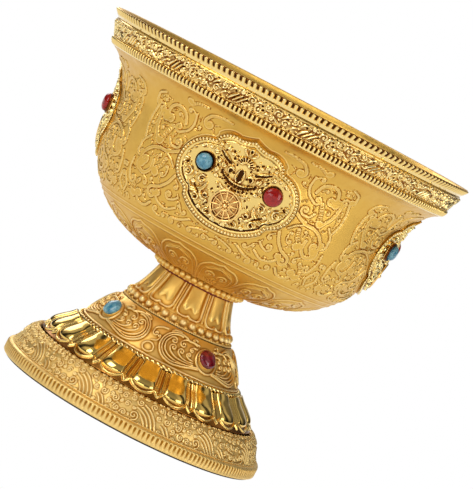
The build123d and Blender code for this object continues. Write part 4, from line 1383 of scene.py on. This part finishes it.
# One cloud: fans of water lines, a bank of curls over them and a row of small curls on top
def drawClouds(canvas, width, height):
    h, s = skirt["lineHeight"], width / skirt["drawnWidth"]
    for (cx, cy), radii, first, last in skirt["fans"]:
        for r in radii:
            arc = [(cx * s + r * math.cos(a), cy + r * math.sin(a)) for a in
                   np.radians(np.linspace(first, last, 12))]
            stroke(canvas, smooth(arc), 0.30, h * 0.8)
    for n, (x, y, r) in enumerate(skirt["curls"]):
        clearSpot(canvas, x * s, y, r + 0.2)
        stroke(canvas, spiral(x * s, y, r * 0.92, 1.4, 60 + 70 * n, 1 if n % 2 else -1), 0.23, h)
    rng = np.random.default_rng(8)
    sizes = ((1.1, 400), (0.9, 600), (0.72, 900), (0.55, 1500))
    for n, (x, y, r) in enumerate(freeSpots(canvas, drawnOn(canvas), sizes, rng)):
        turns = 1.35 if r > 0.6 else 0.8
        stroke(canvas, spiral(x, y, r * 0.8, turns, rng.uniform(0, 360), 1 if n % 2 else -1),
               0.21, h)
    stroke(canvas, [(-1, 0.12), (width + 1, 0.12)], 0.2, h * 0.8)
    stroke(canvas, [(-1, height), (width + 1, height)], 0.7, -0.2)


shellPiece("footSkirt", "foot_skirt", skirt, drawClouds, "satin_gold", "paleGold",
           setting["footTurn"])


# Base rim: a fluted upright edge under a plain rounded shoulder

baseRim = {"outline": [(41.8, 0.5), (42.3, 0.52), (42.47, 0.8), (42.5, 1.8), (42.5, 2.8),
                       (42.45, 3.4), (42.15, 3.9), (41.7, 4.2), (41.2, 4.38)],
           "inner": [(39.5, 4.38), (39.4, 3.0), (39.4, 1.6), (39.5, 0.86), (41.7, 0.84)],
           "teeth": 180, "depth": 0.42}
line = evenly(baseRim["outline"], 30)
share = np.clip(np.minimum((line[:, 1:] - 0.6) / 2.4, (3.8 - line[:, 1:]) / 0.3), 0, 1)
# The gaps between the flutes are painted darker, as shade
toothedRing("baseRim", "base_rim", baseRim, line, share, 0.64, 0.75, "satin_gold", "paleGold")
print("foot ready")


# Stage: floor, room, soft lights and camera. The room's greys are stops of place and value.

stageSettings = {
    "floorSize": 6.0, "floorTone": (0.86, 0.86, 0.86, 1), "worldTone": 0.76,
    "sky": [(0.0, 0.6), (0.46, 0.4), (0.52, 0.10), (0.60, 0.18), (0.72, 0.6), (0.80, 0.95),
            (1.0, 0.55)],
    "panels": [(0.0, 0.5), (0.28, 0.5), (0.35, 0.95), (0.45, 0.95), (0.50, 0.08), (0.60, 0.08),
               (0.64, 0.85), (0.71, 0.85), (0.75, 0.24), (0.84, 0.26), (0.89, 1.0), (1.0, 0.8)],
    "wall": [(0.0, 0.0), (0.84, 0.0), (0.93, 0.75), (1.0, 0.75)],
}


# Pale floor, which the camera and whatever mirrors it or lets it through see as plain white
def floorRecipe(tree, tone):
    path = add(tree, "LightPath").outputs
    seen = path["Is Camera Ray"]
    for ray in ("Is Glossy Ray", "Is Transmission Ray"):
        seen = calc(tree, "MAXIMUM", seen, path[ray])
    white = add(tree, "Emission", {"Color": (1, 1, 1, 1)})
    shown = add(tree, "MixShader", {0: seen, 1: tree.nodes["Principled BSDF"].outputs[0],
                                    2: white.outputs[0]})
    feed(tree, tree.nodes["Material Output"].inputs["Surface"], shown.outputs[0])
    return {"Base Color": tone, "Roughness": 0.9, "Specular IOR Level": 0.0}


def buildFloor():
    s = stageSettings["floorSize"]
    mesh = bpy.data.meshes.new("floor")
    mesh.from_pydata([(-s, -s, 0), (s, -s, 0), (s, s, 0), (-s, s, 0)], [], [(0, 1, 2, 3)])
    mesh.materials.append(newMaterial("floor", floorRecipe, {"tone": stageSettings["floorTone"]}))
    newObject("floor", mesh)


def greyRamp(tree, value, stops):
    node = add(tree, "ValToRGB", {0: value})
    elements = node.color_ramp.elements
    elements[0].position, elements[1].position = stops[0][0], stops[-1][0]
    for position, _ in stops[1:-1]:
        elements.new(position)
    for element, (_, grey) in zip(elements, stops):
        element.color = (grey, grey * 0.985, grey * 0.95, 1)
    return node.outputs[0]


# The room is pale above and darker towards the horizon, for the metal to mirror, with bright
# panels and dark gaps round it and a pale wall far behind. The camera sees a white backdrop.
def buildWorld():
    world = bpy.data.worlds.new("studio")
    bpy.context.scene.world = world
    world.use_nodes = True
    tree = world.node_tree
    tree.nodes.clear()
    way = add(tree, "SeparateXYZ", {0: add(tree, "TexCoord").outputs["Generated"]}).outputs
    tone = greyRamp(tree, spread(tree, way["Z"], -1.0, 1.0), stageSettings["sky"])
    out, behind = calc(tree, "ABSOLUTE", way["X"]), calc(tree, "MULTIPLY", way["Y"], -1.0)
    turn = calc(tree, "DIVIDE", calc(tree, "ARCTAN2", out, behind), math.pi)
    for stops, kind in (("panels", "MULTIPLY"), ("wall", "LIGHTEN")):
        tone = mixed(tree, 1.0, tone, greyRamp(tree, turn, stageSettings[stops]), kind)
    room = add(tree, "Background", {"Color": tone, "Strength": stageSettings["worldTone"]})
    backdrop = add(tree, "Background", {"Color": (1, 1, 1, 1)})
    shown = add(tree, "MixShader", {0: add(tree, "LightPath").outputs["Is Camera Ray"],
                                    1: room.outputs[0], 2: backdrop.outputs[0]})
    add(tree, "OutputWorld", {"Surface": shown.outputs[0]})


def aim(thing, target, roll=0.0):
    turn = (Vector(target) - thing.location).to_track_quat("-Z", "Y").to_matrix()
    thing.rotation_euler = (turn @ Matrix.Rotation(roll, 3, "Z")).to_euler()


# Lights, in metres and watts: place, level aimed at, size and power
lights = {
    "keyLight": ((-0.45, -0.50, 0.50), 0.07, (0.35, 0.5), 2.85),
    "fillLight": ((0.62, -0.42, 0.20), 0.05, (0.35, 0.40), 1.5),
    "frontLight": ((-0.12, -0.80, 0.10), 0.05, (0.5, 0.16), 0.8),
    "topLight": ((0.0, 0.05, 0.85), 0.06, (0.45, 0.45), 1.5),
    "backLight": ((-0.38, 0.62, 0.45), 0.06, (0.5, 0.4), 2.0),
}


def softLight(name, place, level, size, power):
    data = bpy.data.lights.new(name, "AREA")
    data.shape = "RECTANGLE"
    data.size, data.size_y = size
    data.energy = power
    light = newObject(name, data)
    light.location = place
    aim(light, (0, 0, level))


cameraSettings = {"distance": 0.7846, "height": 0.1195, "azimuth": 3.7, "roll": 27.80,
                  "aimRight": 0.005262, "aimLevel": 0.060321, "lens": 192.66}


def buildCamera():
    c = cameraSettings
    data = bpy.data.cameras.new("camera")
    data.lens = c["lens"]
    data.sensor_width = 36
    data.clip_start, data.clip_end = 0.05, 20
    camera = newObject("camera", data)
    a = math.radians(c["azimuth"])
    camera.location = (c["distance"] * math.sin(a), -c["distance"] * math.cos(a), c["height"])
    target = (c["aimRight"] * math.cos(a), c["aimRight"] * math.sin(a), c["aimLevel"])
    aim(camera, target, math.radians(c["roll"]))
    bpy.context.scene.camera = camera


buildFloor()
buildWorld()
for name, settings in lights.items():
    softLight(name, *settings)
buildCamera()
bpy.context.scene.view_settings.view_transform = "Standard"

print("scene ready")
